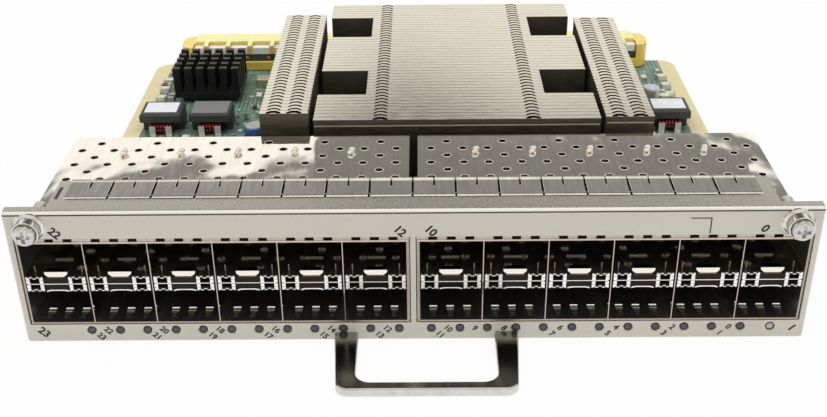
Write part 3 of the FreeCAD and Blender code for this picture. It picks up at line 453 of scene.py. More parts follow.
turns = bmesh.new()
for low, high in solid_boxes("coil_windings"):
    middle = (low + high) / 2
    reach_y = (high.y - low.y) / 2 - WIRE_R
    reach_z = (high.z - low.z) / 2 - WIRE_R
    count = int((high.x - low.x) / TURN_PITCH)
    for i in range(count):
        x = low.x + WIRE_R + i * (high.x - low.x - 2 * WIRE_R) / (count - 1)
        loop = []
        for k in range(TURN_STEPS):
            angle = 2 * math.pi * k / TURN_STEPS
            across, up = math.cos(angle), math.sin(angle)
            pull = max(abs(across), abs(up)) ** TURN_SQUARENESS
            loop.append(Vector((x, middle.y + reach_y * across / pull, middle.z + reach_z * up / pull)))
        add_tube(turns, loop, WIRE_R, sides=6, closed=True)
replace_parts(make_piece("inductor_turns", turns, [red_enamel], smooth=True), "coil_windings")

# Can capacitors and the clock crystal: a drawn aluminium can on a black base, a low blue one,
# and a beige plated crystal can. They are soldered down near the heat sinks.
CAN_ROUND = 0.45
CAN_BASE_H = 1.0
CAN_NECK = 0.25
CAN_NECK_H = 0.5
CAN_SHOULDER_H = 0.9
CAN_TOP_STEP = 0.15
CAN_TOP_DROP = 0.12
ROUND_STEPS = 5
CRYSTAL_ROUND = 0.3


def add_turned(bm, profile, origin, axis, finish=0, steps=32):
    """Lathe-turned form from (radius, distance) points along an axis, in millimetres."""
    spin = UP.rotation_difference(axis).to_matrix()
    across, up = spin @ Vector((1, 0, 0)), spin @ Vector((0, 1, 0))
    rings = []
    for radius, reach in profile:
        middle = Vector(origin) + reach * axis
        if radius < 1e-6:
            rings.append([bm.verts.new(middle)])
        else:
            rings.append(add_ring(bm, middle, radius * across, radius * up, steps))
    for first, second in zip(rings, rings[1:]):
        for k in range(steps):
            around = [first[k - 1], first[k]] if len(first) > 1 else [first[0]]
            around += [second[k], second[k - 1]] if len(second) > 1 else [second[0]]
            if len(around) > 2:
                bm.faces.new(around).material_index = finish


def quarter_round(radius, reach, ease):
    """Rounded shoulder of a turned form, from its side to its flat end."""
    bend = [math.pi / 2 * k / ROUND_STEPS for k in range(ROUND_STEPS + 1)]
    return [(radius - ease + ease * math.cos(a), reach - ease + ease * math.sin(a)) for a in bend]


def sharp_where_steep(piece):
    """Smooth shading that keeps the steep creases."""
    bm = bmesh.new()
    bm.from_mesh(piece.data)
    for face in bm.faces:
        face.smooth = True
    for edge in bm.edges:
        edge.smooth = edge.is_manifold and edge.calc_face_angle() < CREASE
    bm.to_mesh(piece.data)
    bm.free()
    return piece


can_metal = grained_finish("can_aluminium", (0.62, 0.60, 0.54), 0.42, 0.5, grain=0.7, stretch=(1, 1, 0.2))
can_top = grained_finish("can_top", (0.60, 0.67, 0.78), 0.35, 0.2, grain=1.2)
blue_sleeve = grained_finish("blue_sleeve", (0.055, 0.16, 0.42), 0.3, grain=1.0)
crystal_plate = grained_finish("crystal_plate", (0.62, 0.56, 0.43), 0.35, 0.7, grain=1.0)
for node, name, skin, lid in (("can_capacitor", "aluminium_can", can_metal, can_top),
                              ("blue_capacitor", "blue_can", blue_sleeve, can_metal)):
    low, high = box_mm(node)
    radius = (high.x - low.x) / 2
    foot = ((low.x + high.x) / 2, (low.y + high.y) / 2, low.z)
    tall = high.z - low.z
    neck, rim = radius - CAN_NECK, radius - CAN_ROUND
    can = bmesh.new()
    add_block(can, low, (high.x, high.y, low.z + CAN_BASE_H), 2)
    wall = [(neck, CAN_BASE_H), (neck, CAN_BASE_H + CAN_NECK_H), (radius, CAN_BASE_H + CAN_SHOULDER_H)]
    add_turned(can, wall + quarter_round(radius, tall, CAN_ROUND), foot, UP, 0)
    flat = tall - CAN_TOP_DROP
    add_turned(can, [(rim, tall), (rim - CAN_TOP_STEP, flat), (0.0, flat)], foot, UP, 1)
    piece = sharp_where_steep(make_piece(name, can, [skin, lid, moulding]))
    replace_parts(piece, node)
rounded_copy("crystal_can", "crystal_lid", crystal_plate, CRYSTAL_ROUND)

# Finned heat sink: an aluminium cold plate, three packs of folded fins that lock into each other,
# and four sprung screws that pull the plate down on the processor and its grey gap pad.
# The fins are stamped from bare strip, so they keep a fine rolled grain.
BEAD_DROP = 1.6
BEAD_H = 0.3
BEAD_PROUD = 0.1
BEAD_BEDDED = 0.05
BEAD_INSET = 0.3
ZIP_PLACES = {"centre_fin_pack": (-20.0, 20.0), "left_fin_pack": (-2.7, 2.7), "right_fin_pack": (-2.7, 2.7)}
ZIP_OUTLINE = ((-2.0, 0.12), (-1.95, 0.8), (-0.8, 1.75), (0.8, 1.75), (1.95, 0.8), (2.0, 0.12),
               (1.0, 0.12), (0.5, 0.42), (-0.5, 0.42), (-1.0, 0.12))
ZIP_T = 0.02
FIN_STAIN = (0.66, 0.58, 0.45, 1)
STAIN_SHARE = 0.3
SHEARED_EDGE_HIGHLIGHT = (0.80, 0.77, 0.70, 1)
SHEARED_ACROSS = 0.9
FLAT_UP = 0.5
FLAT_ROUGHNESS = 0.3
UPRIGHT_ROUGHNESS = 0.38
SPRING_STEPS = 24
SPRING_TURNS = 3.5
SINK_WIRE_R = 0.25


def facing_axes(place):
    """The x, y and z of the way a face looks."""
    return axes_of(add_node(place.id_data, "ShaderNodeNewGeometry").outputs["Normal"])


def fin_strip():
    """Bare rolled strip: its own colour on top, a darker copy on the upright faces as painted shade and a
    lighter one on the sheared ends as a painted highlight.
    """
    finish, shader, place = start_finish("fin_strip", 0.30, 1.0)
    rolled = cloud(stretched(place, (0.12, 1, 1)), 0.5)
    stain = cloud(place, 16.0, 2.0)
    metal = shades(rolled, (0.73, 0.70, 0.63, 1), (0.88, 0.85, 0.77, 1))
    metal = painted_over(sums("MULTIPLY", stain, STAIN_SHARE), metal, FIN_STAIN)
    across, _, up = facing_axes(place)
    # Painted shade on the upright faces and a painted highlight on the sheared ends, chosen by the way each
    # face looks.
    upright = sums("LESS_THAN", up, FLAT_UP)
    sheared = sums("GREATER_THAN", sums("ABSOLUTE", across), SHEARED_ACROSS)
    plate = shades(rolled, (0.155, 0.137, 0.108, 1), (0.205, 0.182, 0.147, 1))
    plate = painted_over(sheared, plate, SHEARED_EDGE_HIGHLIGHT)
    paint(shader, painted_over(upright, metal, plate))
    dull = sums("MULTIPLY", upright, UPRIGHT_ROUGHNESS)
    feed(sums("ADD", sums("MULTIPLY", rolled, FLAT_ROUGHNESS), dull), shader.inputs["Roughness"])
    relief(shader, rolled, 0.01)
    return finish


def add_sheet(bm, outline, depth, finish=0):
    """Flat plate from a run of corner points, pushed along a depth."""
    front = [bm.verts.new(point) for point in outline]
    back = [bm.verts.new(point + depth) for point in outline]
    bm.faces.new(front).material_index = finish
    bm.faces.new(back[::-1]).material_index = finish
    for k in range(len(front)):
        bm.faces.new((front[k - 1], back[k - 1], back[k], front[k])).material_index = finish


def add_spring(bm, low, high, wire_r, axis):
    """Smooth wire helix that fills a spring's box along one axis."""
    middle = (low + high) / 2
    first, second = [k for k in range(3) if k != axis]
    coil_r = (high[first] - low[first]) / 2 - wire_r
    count = int(SPRING_STEPS * SPRING_TURNS)
    points = []
    for i in range(count + 1):
        angle = 2 * math.pi * i / SPRING_STEPS
        point = middle.copy()
        point[first] += coil_r * math.cos(angle)
        point[second] += coil_r * math.sin(angle)
        point[axis] = low[axis] + wire_r + (high[axis] - low[axis] - 2 * wire_r) * i / count
        points.append(point)
    add_tube(bm, points, wire_r)


bare_fins = fin_strip()
cold_plate = grained_finish("cold_plate", (0.62, 0.61, 0.58), 0.35, 1.0, grain=0.8, stretch=(0.15, 1, 1))
# Black of the port sockets, also used as painted shadow in the zip openings and under the finger slits.
socket_black_and_shadow = grained_finish("socket_black_and_shadow", (0.006, 0.006, 0.006), 0.6, grain=0.5)
socket_black_and_shadow.node_tree.nodes["Principled BSDF"].inputs["Specular IOR Level"].default_value = 0.0
bead_painted_highlight = grained_finish("bead_painted_highlight", (0.78, 0.68, 0.52), 0.4, 0.5, grain=4.0)
gap_pad = grained_finish("gap_pad", (0.30, 0.31, 0.33), 0.8, grain=0.6, height=0.03)
bright_steel = grained_finish("bright_steel", (0.66, 0.65, 0.63), 0.24, 1.0, grain=0.7, height=0.006)
spring_wire = grained_finish("spring_wire", (0.50, 0.50, 0.48), 0.25, 1.0, grain=0.5)
dress(bare_fins, "centre_fin_pack", "left_fin_pack", "right_fin_pack")
dress(cold_plate, "heatsink_base")
dress(gap_pad, "thermal_pad")
dress(bright_steel, "heatsink_screws")
# Beads across the fronts of the centre and right packs, coloured lighter than the fin fronts as a painted
# highlight.
beads = bmesh.new()
for node in ("centre_fin_pack", "right_fin_pack"):
    low, high = box_mm(node)
    add_block(beads, (low.x + BEAD_INSET, low.y - BEAD_PROUD, high.z - BEAD_DROP - BEAD_H),
              (high.x - BEAD_INSET, low.y + BEAD_BEDDED, high.z - BEAD_DROP))
make_piece("fin_beads", beads, [bead_painted_highlight])
# Thin black sheets on the flange tops where the zips open, as painted shadow of the openings.
painted_zip_shadows = bmesh.new()
for node, places in ZIP_PLACES.items():
    low, high = box_mm(node)
    for place in places:
        spot = Vector(((low.x + high.x) / 2 + place, low.y, high.z))
        add_sheet(painted_zip_shadows, [spot + Vector((dx, dy, 0)) for dx, dy in ZIP_OUTLINE], ZIP_T * UP)
make_piece("painted_zip_shadows", painted_zip_shadows, [socket_black_and_shadow])
coils = bmesh.new()
for low, high in solid_boxes("heatsink_springs"):
    add_spring(coils, low, high, SINK_WIRE_R, 2)
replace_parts(make_piece("sink_springs", coils, [spring_wire], smooth=True), "heatsink_springs")

# Pin heat sink: a black anodised extrusion, sawn across into square pins.
# It is stuck on a smaller chip at the left of the board.
PIN_ROUND = 0.12
black_anodised = grained_finish("black_anodised", (0.008, 0.008, 0.009), 0.38, 0.2, grain=0.4, height=0.015,
                                stretch=(1, 1, 0.2))
rounded_copy("pin_heatsink", "pin_sink", black_anodised, PIN_ROUND)

# Port cages: two folded boxes of bright tinned sheet, with lids, divider walls and a bridge
# between the upper and lower bays. Each divider is held by a tab through the lid, twisted over.
# The sockets at the back are black mouldings.
EDGE_FORWARD = -0.9
FRONT_TAPER = 0.7
FRONT_EDGE = 0.2
HOLE_MARGIN = 0.3
HOLE_WALL_UP = 0.1
TWIST_RINGS = 16
TWIST_SIDES = 10
TWIST_HALF_W = 0.85
TWIST_WAIST = 0.5
TWIST_LEAST = 0.2
TWIST_SKEW = 0.3
TWIST_FRONT_H = 0.32
TWIST_GAIN_H = 0.18
TWIST_PROUD = 0.1
RIM_W = 0.22
RIM_H = 0.07
RIM_BEDDED = 0.05
RIM_STEPS = 20
ROUND_HOLE = 2.4


def tinned_sheet(name, dark, light, low_gloss, high_gloss, cut_edge=None, metallic=1.0):
    """Bright sheet with slow ripples and fine streaks, and the colour of its sheared front edges."""
    finish, shader, place = start_finish(name, low_gloss, metallic)
    ripple = cloud(stretched(place, (1, 0.6, 1)), 11.0, 1.5)
    scuff = cloud(stretched(place, (1, 0.12, 1)), 0.9)
    colour = shades(scuff, dark, light)
    if cut_edge:
        forward = sums("LESS_THAN", facing_axes(place)[1], EDGE_FORWARD)
        colour = painted_over(forward, colour, cut_edge)
    paint(shader, colour)
    uneven_gloss(shader, scuff, low_gloss, high_gloss)
    relief(shader, ripple, 0.16)
    return finish


def hole_boxes(node):
    """Corners in millimetres of each hole through a flat sheet."""
    low, high = box_mm(node)
    bm = mesh_mm(node)
    walls = set()
    for face in bm.faces:
        spot = face.calc_center_median()
        inside = all(low[k] + HOLE_MARGIN < spot[k] < high[k] - HOLE_MARGIN for k in (0, 1))
        if inside and abs(face.normal.z) < HOLE_WALL_UP:
            walls.add(face)
    boxes = []
    while walls:
        group, waiting = [], [walls.pop()]
        while waiting:
            face = waiting.pop()
            group += [v.co.copy() for v in face.verts]
            for near in {f for e in face.edges for f in e.link_faces} & walls:
                walls.discard(near)
                waiting.append(near)
        boxes.append(box_round(group))
    bm.free()
    return boxes


def add_twisted_tab(bm, x, front, rear, foot, top, finish):
    """Sheet tab twisted over on the lid, which leaves two rounded lobes with a waist between them."""
    rings = []
    for i in range(TWIST_RINGS + 1):
        share = i / TWIST_RINGS
        lobe = abs(math.sin(2 * math.pi * share)) ** 0.5
        ends = math.sqrt(max(0.0, 1 - (2 * share - 1) ** 6))
        girth = ends * (TWIST_WAIST + (1 - TWIST_WAIST) * lobe)
        half_h = (top - foot) * (TWIST_FRONT_H + TWIST_GAIN_H * share)
        middle = Vector((x + TWIST_SKEW * (2 * share - 1), front + (rear - front) * share, foot + half_h))
        across = Vector((TWIST_HALF_W * girth, 0, 0))
        rings.append(add_ring(bm, middle, across, half_h * max(girth, TWIST_LEAST) * UP, TWIST_SIDES))
    skin_rings(bm, rings, finish)


pressed_tin = grained_finish("pressed_tin", (0.95, 0.89, 0.85), 0.2, 0.9, grain=0.5, drift=0.06)
tab_tin = grained_finish("tab_tin", (0.97, 0.88, 0.82), 0.08, 1.0, grain=0.5, drift=0.08)
tin = tinned_sheet("tinned_sheet", (0.84, 0.81, 0.77, 1), (0.95, 0.93, 0.90, 1), 0.015, 0.06,
                   cut_edge=(0.62, 0.50, 0.43, 1))
side_tin = tinned_sheet("side_sheet", (0.55, 0.53, 0.50, 1), (0.70, 0.68, 0.65, 1), 0.30, 0.42,
                        cut_edge=(0.46, 0.37, 0.31, 1))
# Tinned sheet painted near black as painted shade, for the tongue backs deep in the bays and the collar's band
# behind its slots.
bay_shade_tin = tinned_sheet("bay_sheet_painted_shade", (0.008, 0.007, 0.0055, 1), (0.020, 0.016, 0.013, 1), 0.10, 0.2)
# The bridges take a darkened copy of the tinned sheet as painted shade, with their front edges darker still.
bridge_shade_tin = tinned_sheet("bridge_sheet_painted_shade", (0.16, 0.135, 0.11, 1), (0.22, 0.185, 0.155, 1), 0.05, 0.09,
                          cut_edge=(0.022, 0.017, 0.014, 1), metallic=0.88)
for side in ("left", "right"):
    dress(tin, side + "_cage_lid")
    dress(side_tin, side + "_cage_frame")
    dress(bridge_shade_tin, side + "_port_separators")
    dress(socket_black_and_shadow, side + "_port_connectors")
    lid_low, lid_high = box_mm(side + "_cage_lid")
    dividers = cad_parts[side + "_cage_dividers"].data.vertices
    tab_y = [v.co.y / MM for v in dividers if v.co.z / MM > lid_high.z + TWIST_PROUD]
    walls = bmesh.new()
    for low, high in solid_boxes(side + "_cage_dividers"):
        middle_x = (low.x + high.x) / 2
        taper_y = low.y + FRONT_TAPER
        add_block(walls, (low.x, taper_y, low.z), (high.x, high.y, lid_low.z))
        edge = [Vector((x, y, low.z)) for x, y in
                ((low.x, taper_y), (middle_x - FRONT_EDGE / 2, low.y),
                 (middle_x + FRONT_EDGE / 2, low.y), (high.x, taper_y))]
        add_sheet(walls, edge, (lid_low.z - low.z) * UP)
        add_twisted_tab(walls, middle_x, min(tab_y), max(tab_y), lid_high.z, high.z, 1)
    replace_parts(make_piece(side + "_divider_walls", walls, [tin, tab_tin]), side + "_cage_dividers")
    rims = bmesh.new()
    for low, high in hole_boxes(side + "_cage_lid"):
        spot = ((low.x + high.x) / 2, (low.y + high.y) / 2, lid_high.z)
        bore = (high.x - low.x) / 2
        if high.y - low.y < ROUND_HOLE * bore:
            curl = [(bore + RIM_W, 0.0), (bore + RIM_W * 0.5, RIM_H), (bore, RIM_H), (bore, -RIM_BEDDED)]
            add_turned(rims, curl, spot, UP, steps=RIM_STEPS)
    make_piece(side + "_vent_rims", rims, [pressed_tin], smooth=True)

# Bay fittings: bright frames round the light windows of each bridge, the sprung latch tongue of
# each upper bay, the lip of each lower bay and the pressed ribs in the floor.
# They are stamped in the same sheet as the cages and catch the light at the mouths.
# Rib rows, latch roots and posts take darker copies of the sheet as painted shade, and the tongue backs take
# the bay sheet.
SEAM_INSET = 0.5
SEAM_PROUD = 0.06
SEAM_BEDDED = 0.1
SEAM_HALF_H = 0.09
FRAME_X = 4.75
FRAME_HALF_W = 1.5
FRAME_BAR_W = 0.78
FRAME_BAR_H = 1.7
FRAME_BAR_GAP = 0.08
FRAME_SPLIT = 0.3
FRAME_EDGE_H = 0.2
FRAME_EDGE_GAP = 0.28
FRAME_PROUD = 0.12
FRAME_BEDDED = 0.2
KEY_HALF_W = 0.35
KEY_STEP = 1.6
TONGUE_HALF_W = 2.6
TONGUE_TIP = 2.05
TONGUE_HALF = ((TONGUE_HALF_W, 1.0), (TONGUE_HALF_W - 0.05, 0.55), (TONGUE_TIP, 0.15),
               (TONGUE_TIP - 0.35, 0.0))
TONGUE_H = 1.05
TONGUE_GAP = 0.06
TONGUE_SET = 0.4
TONGUE_DEPTH = Vector((0, 0.25, -0.05))
TONGUE_BACK = 1.6
TONGUE_BACK_SHARE = 0.9
TONGUE_LEAN = 0.36
LATCH_ROOT = 7.5
LATCH_T = 0.4
LATCH_H = 0.3
POST_X = 5.25
POST_HALF_W = 0.12
POST_Y = 2.6
POST_T = 0.2
POST_H = 1.5
BAY_LIP_W = 5.0
BAY_LIP_H = 0.32
BAY_LIP_STEPS = 8
BAY_LIP_DROOP = 0.3
BAY_LIP_GAP = 0.05
BAY_LIP_SET = 0.15
BAY_LIP_DEPTH = 0.5
BAY_FLOOR_T = 0.4
RIB_W = 1.7
RIB_SLOPE = 0.36
RIB_BACK = 0.12
RIB_X = 3.9
# Columns: reach, height, width share and finish; the finish picks a dark, dim or bright copy of the sheet, so
# the rows carry painted shade.
RIB_ROWS = ((1.75, 0.05, 0.6, 4), (2.6, 0.06, 0.6, 4), (3.5, 0.1, 0.75, 4), (4.2, 0.15, 0.95, 2),
            (5.25, 0.27, 1.0, 3))


def add_frame_bar(bm, bridge_y, x0, x1, z0, z1):
    """Bar of a window frame, a little proud of the bridge's front."""
    add_block(bm, (min(x0, x1), bridge_y - FRAME_PROUD, min(z0, z1)),
              (max(x0, x1), bridge_y + FRAME_BEDDED, max(z0, z1)))


def add_window_frame(bm, bridge_y, x, middle_z):
    """Split frames of the two light windows, above and below the bridge's middle."""
    for row in (-1, 1):
        base_z = middle_z + row * FRAME_SPLIT / 2
        tip_z = base_z + row * FRAME_BAR_H
        edge_z = tip_z - row * FRAME_EDGE_H
        gap_z = (base_z + tip_z) / 2
        gap = row * FRAME_BAR_GAP / 2
        for hand in (-1, 1):
            outer = x + hand * FRAME_HALF_W
            for z0, z1 in ((base_z, gap_z - gap), (gap_z + gap, tip_z)):
                add_frame_bar(bm, bridge_y, outer - FRAME_BAR_W / 2, outer + FRAME_BAR_W / 2, z0, z1)
            add_frame_bar(bm, bridge_y, x + hand * FRAME_HALF_W * FRAME_EDGE_GAP, outer, edge_z, tip_z)
        step = -row * FRAME_EDGE_H * KEY_STEP
        add_frame_bar(bm, bridge_y, x - KEY_HALF_W, x + KEY_HALF_W, edge_z + step, tip_z + step)


def add_tongue(bm, x, front, foot):
    """Sprung tongue that leans back from the bridge, its latch root and the posts beside it."""
    half = [(-dx, rise) for dx, rise in TONGUE_HALF]
    outline = [Vector((x + dx, front + TONGUE_SET + TONGUE_LEAN * rise, foot + TONGUE_GAP + TONGUE_H * rise))
               for dx, rise in half + list(reversed(TONGUE_HALF))]
    add_sheet(bm, outline, TONGUE_DEPTH, 3)
    back = front + TONGUE_SET + TONGUE_LEAN
    add_block(bm, (x - TONGUE_TIP, back, foot + TONGUE_BACK_SHARE * TONGUE_H),
              (x + TONGUE_TIP, back + TONGUE_BACK, foot + TONGUE_H), 1)
    add_block(bm, (x - TONGUE_TIP, front + LATCH_ROOT, foot),
              (x + TONGUE_TIP, front + LATCH_ROOT + LATCH_T, foot + LATCH_H), 2)
    for post_x in (x - POST_X, x + POST_X):
        add_block(bm, (post_x - POST_HALF_W, front + POST_Y, foot),
                  (post_x + POST_HALF_W, front + POST_Y + POST_T, foot + POST_H), 2)


def add_bay_lip(bm, x, front, top):
    """Lip under the bridge, which droops at its ends."""
    upper = []
    for k in range(BAY_LIP_STEPS + 1):
        share = 2 * k / BAY_LIP_STEPS - 1
        droop = BAY_LIP_DROOP * share ** 4
        upper.append(Vector((x + share * BAY_LIP_W / 2, front + BAY_LIP_SET, top - BAY_LIP_GAP - droop)))
    lower = [point - BAY_LIP_H * UP for point in reversed(upper)]
    add_sheet(bm, upper + lower, Vector((0, BAY_LIP_DEPTH, 0)))


def add_floor_ribs(bm, x, front, floor_z):
    """Column of pressed ribs along a bay's floor."""
    for reach, tall, wide, metal in RIB_ROWS:
        rib_y = front + reach
        crest_y = rib_y + RIB_SLOPE * tall
        ridge = [Vector((x - wide * RIB_W / 2, y, z)) for y, z in
                 ((rib_y, floor_z), (crest_y, floor_z + tall), (crest_y + RIB_BACK, floor_z))]
        add_sheet(bm, ridge, Vector((wide * RIB_W, 0, 0)), metal)


# The dim edge and rib shade finishes are darker copies of the tinned sheet, as painted shade inside the bays.
bright_edge = grained_finish("bright_edge", (0.95, 0.93, 0.89), 0.24, 0.85, grain=0.4, drift=0.05)
dim_edge_painted_shade = grained_finish("dim_edge_painted_shade", (0.50, 0.48, 0.38), 0.35, 0.5, grain=0.4)
rib_tin = grained_finish("rib_tin", (0.97, 0.95, 0.93), 0.14, 1.0, grain=0.6, drift=0.03)
rib_shade = grained_finish("rib_shade", (0.14, 0.125, 0.10), 0.4, 0.4, grain=0.6)
for side in ("left", "right"):
    fittings = bmesh.new()
    floor_z = box_mm(side + "_cage_frame")[0].z + BAY_FLOOR_T
    for low, high in solid_boxes(side + "_port_separators"):
        x, z = (low.x + high.x) / 2, (low.z + high.z) / 2
        add_block(fittings, (low.x + SEAM_INSET, low.y - SEAM_PROUD, z - SEAM_HALF_H),
                  (high.x - SEAM_INSET, low.y + SEAM_BEDDED, z + SEAM_HALF_H))
        for way in (-1, 1):
            add_window_frame(fittings, low.y, x + way * FRAME_X, z)
        add_tongue(fittings, x, low.y, high.z)
        add_bay_lip(fittings, x, low.y, low.z)
        for way in (-1, 0, 1):
            add_floor_ribs(fittings, x + way * RIB_X, low.y, floor_z)
    make_piece(side + "_bay_fittings", fittings, [bright_edge, bay_shade_tin, dim_edge_painted_shade, rib_tin, rib_shade])

# Spring collars round the cage mouths: bright strip with fingers that press on the panel's window.
# Three slots above each bay leave the fingers free, and show as dark gaps at the window's top.
# They are clipped over the cage before the panel goes on.
COLLAR_SLOT_W = 2.0
COLLAR_SLOT_STEP = 4.05
COLLAR_T = 0.12
COLLAR_FOOT = 0.02
COLLAR_BAND = 2.2
COLLAR_FRONT = 0.25
WINDOW_GAP = 0.82
WAVE_FRONT = -0.3
WAVE_CREST = 0.8
WAVE_REAR = 2.3
collar_strip = grained_finish("collar_strip", (0.60, 0.55, 0.49), 0.35, 0.4, grain=0.8)
for side in ("left", "right"):
    low, high = box_mm(side + "_cage_gasket")
    lid_low, lid_high = box_mm(side + "_cage_lid")
    frame_z = box_mm(side + "_cage_frame")[0].z
    band_y = low.y + COLLAR_BAND
    collar = bmesh.new()
    # The band and foot behind the slots take the bay sheet, painted near black as painted shade, so the slots
    # show dark.
    for y0, y1, z0, z1 in ((band_y, high.y, lid_high.z, lid_high.z + COLLAR_T),
                           (low.y - COLLAR_FRONT, band_y, lid_high.z, lid_high.z + COLLAR_FOOT),
                           (band_y, high.y, frame_z - COLLAR_T, frame_z)):
        add_block(collar, (low.x, y0, z0), (high.x, y1, z1), 1)
    for x0, x1 in ((low.x, lid_low.x), (lid_high.x, high.x)):
        add_block(collar, (x0, low.y, low.z), (x1, high.y, high.z))
    slots = [(a.x + b.x) / 2 + step for a, b in solid_boxes(side + "_port_separators")
             for step in (-COLLAR_SLOT_STEP, 0, COLLAR_SLOT_STEP)]
    starts = [low.x] + [x + COLLAR_SLOT_W / 2 for x in slots]
    ends = [x - COLLAR_SLOT_W / 2 for x in slots] + [high.x]
    for x0, x1 in zip(starts, ends):
        finger = [Vector((x0, low.y + dy, lid_high.z + dz)) for dy, dz in
                  ((WAVE_FRONT, COLLAR_FOOT), (WAVE_FRONT, WINDOW_GAP), (WAVE_CREST, WINDOW_GAP),
                   (WAVE_REAR, COLLAR_T), (WAVE_REAR, COLLAR_FOOT))]
        add_sheet(collar, finger, Vector((x1 - x0, 0, 0)))
    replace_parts(make_piece(side + "_spring_collar", collar, [collar_strip, bay_shade_tin]), side + "_cage_gasket")

# Front panel: folded from plated steel, with a rolled top edge and a tongue that points backwards.
# A warm grey film covers its face, printed with the port numbers.
# Countersunk screws and spacers hold its ears to the board.
# Its rolled top edge carries a painted highlight, with a painted shade line along its lower part.
ROLL_FORWARD = -0.3
ROLL_UP = 0.38
SEAM_UP = 0.05
ROLL_HIGHLIGHT = (0.98, 0.98, 0.97, 1)
SEAM_SHADE = (0.08, 0.08, 0.075, 1)
WASH_SHARE = 0.3
NUMBER_SIZE = 2.0
CORNER_NUMBER_SIZE = 2.7
NUMBER_TURN = math.radians(45)
BESIDE_LAMP = (-2.7, -0.1)
UNDER_LAMP = (2.0, -1.75)
ODD_BESIDE = 9
ODD_BESIDE_LAMP = (-2.9, -0.1)
CORNER_NUMBERS = (("22", -78.0, 28.9), ("12", -2.8, 28.9), ("10", 3.9, 28.9), ("0", 76.3, 28.9),
                  ("23", -84.6, 2.6), ("1", 86.0, 2.6))
INK_T = 0.02
INK_SPREAD = 0.036
MARK_X = 64.6
MARK_Z = 31.8
MARK_WIDE = 4.6
MARK_TALL = 4.0
MARK_LINE = 0.26
TONGUE_SLOT_LOW = (-79.0, 5.0)
TONGUE_SLOT_HIGH = (-78.2, 10.5)
TONGUE_SLOT_SUNK = 0.03
TONGUE_SLOT_PROUD = 0.01


def plated_steel(name, dark, light, gloss, roll=None, seam=None):
    """Spangled plating, with a painted highlight on the roll and a painted shade line below it."""
    finish, shader, place = start_finish(name, gloss, 1.0)
    spangle = cloud(place, 0.45, 6.0)
    wash = sums("MULTIPLY", cloud(place, 9.0, 2.0), WASH_SHARE)
    colour = painted_over(wash, shades(spangle, dark, light), light)
    # Forward faces turned up a little get the painted shade line, and those turned up more the painted
    # highlight.
    if roll:
        _, forward, up = facing_axes(place)
        to_front = sums("LESS_THAN", forward, ROLL_FORWARD)
        for least_up, face_colour in ((SEAM_UP, seam), (ROLL_UP, roll)):
            turned = sums("MULTIPLY", to_front, sums("GREATER_THAN", up, least_up))
            colour = painted_over(turned, colour, face_colour)
    paint(shader, colour)
    uneven_gloss(shader, spangle, gloss * 0.7, gloss * 1.3)
    relief(shader, spangle, 0.009)
    return finish


def film_print():
    """Warm grey film with a fine satin grain."""
    finish, shader, place = start_finish("overlay_film", 0.5, 0.0)
    wash = cloud(place, 30.0, 2.0)
    paint(shader, shades(wash, (0.655, 0.625, 0.535, 1), (0.695, 0.665, 0.575, 1)))
    fine = cloud(place, 0.35)
    uneven_gloss(shader, fine, 0.42, 0.58)
    relief(shader, fine, 0.004)
    return finish


def add_number(bm, text, size, x, z, face_y):
    """A printed number, set on the film at 45 degrees."""
    words = bpy.data.curves.new("number", "FONT")
    words.body = text
    words.size = size
    words.align_x = "CENTER"
    words.align_y = "CENTER"
    words.extrude = INK_T / 2
    words.resolution_u = 4
    words.offset = size * INK_SPREAD
    holder = bpy.data.objects.new("number", words)
    mesh = bpy.data.meshes.new_from_object(holder)
    place = Matrix.Translation((x, face_y - INK_T / 2, z)) @ Matrix.Rotation(NUMBER_TURN, 4, "Y")
    mesh.transform(place @ Matrix.Rotation(math.pi / 2, 4, "X"))
    bm.from_mesh(mesh)
    bpy.data.objects.remove(holder)
    bpy.data.curves.remove(words)
    bpy.data.meshes.remove(mesh)


zinc = plated_steel("zinc_plate", (0.68, 0.67, 0.63, 1), (0.80, 0.79, 0.75, 1), 0.28, ROLL_HIGHLIGHT, SEAM_SHADE)
film = film_print()
ink = grained_finish("print_ink", (0.012, 0.012, 0.013), 0.5, grain=0.3)
dress(zinc, "front_panel")
dress(film, "panel_overlay")
dress(bright_steel, "panel_screws", "panel_spacers")
film_low, film_high = box_mm("panel_overlay")
numbers = bmesh.new()
lamp_boxes = solid_boxes("port_lamps")
for i, (low, high) in enumerate(lamp_boxes):
    number = len(lamp_boxes) - 1 - i
    dx, dz = BESIDE_LAMP if number % 2 == 0 else UNDER_LAMP
    if number == ODD_BESIDE:
        dx, dz = ODD_BESIDE_LAMP
    x, z = (low.x + high.x) / 2 + dx, (low.z + high.z) / 2 + dz
    add_number(numbers, str(number), NUMBER_SIZE, x, z, film_low.y)
for text, x, z in CORNER_NUMBERS:
    add_number(numbers, text, CORNER_NUMBER_SIZE, x, z, film_low.y)
for wide, tall in ((MARK_WIDE, MARK_LINE), (MARK_LINE, MARK_TALL)):
    add_block(numbers, (MARK_X - wide, film_low.y - INK_T, MARK_Z - tall), (MARK_X, film_low.y, MARK_Z))
make_piece("printed_numbers", numbers, [ink])
# A black block nearly flush with the tongue, as painted shadow of the slot in it.
slot = bmesh.new()
tongue_z = box_mm("front_panel")[1].z
add_block(slot, (*TONGUE_SLOT_LOW, tongue_z - TONGUE_SLOT_SUNK),
          (*TONGUE_SLOT_HIGH, tongue_z + TONGUE_SLOT_PROUD))
make_piece("tongue_slot_shadow", slot, [moulding])

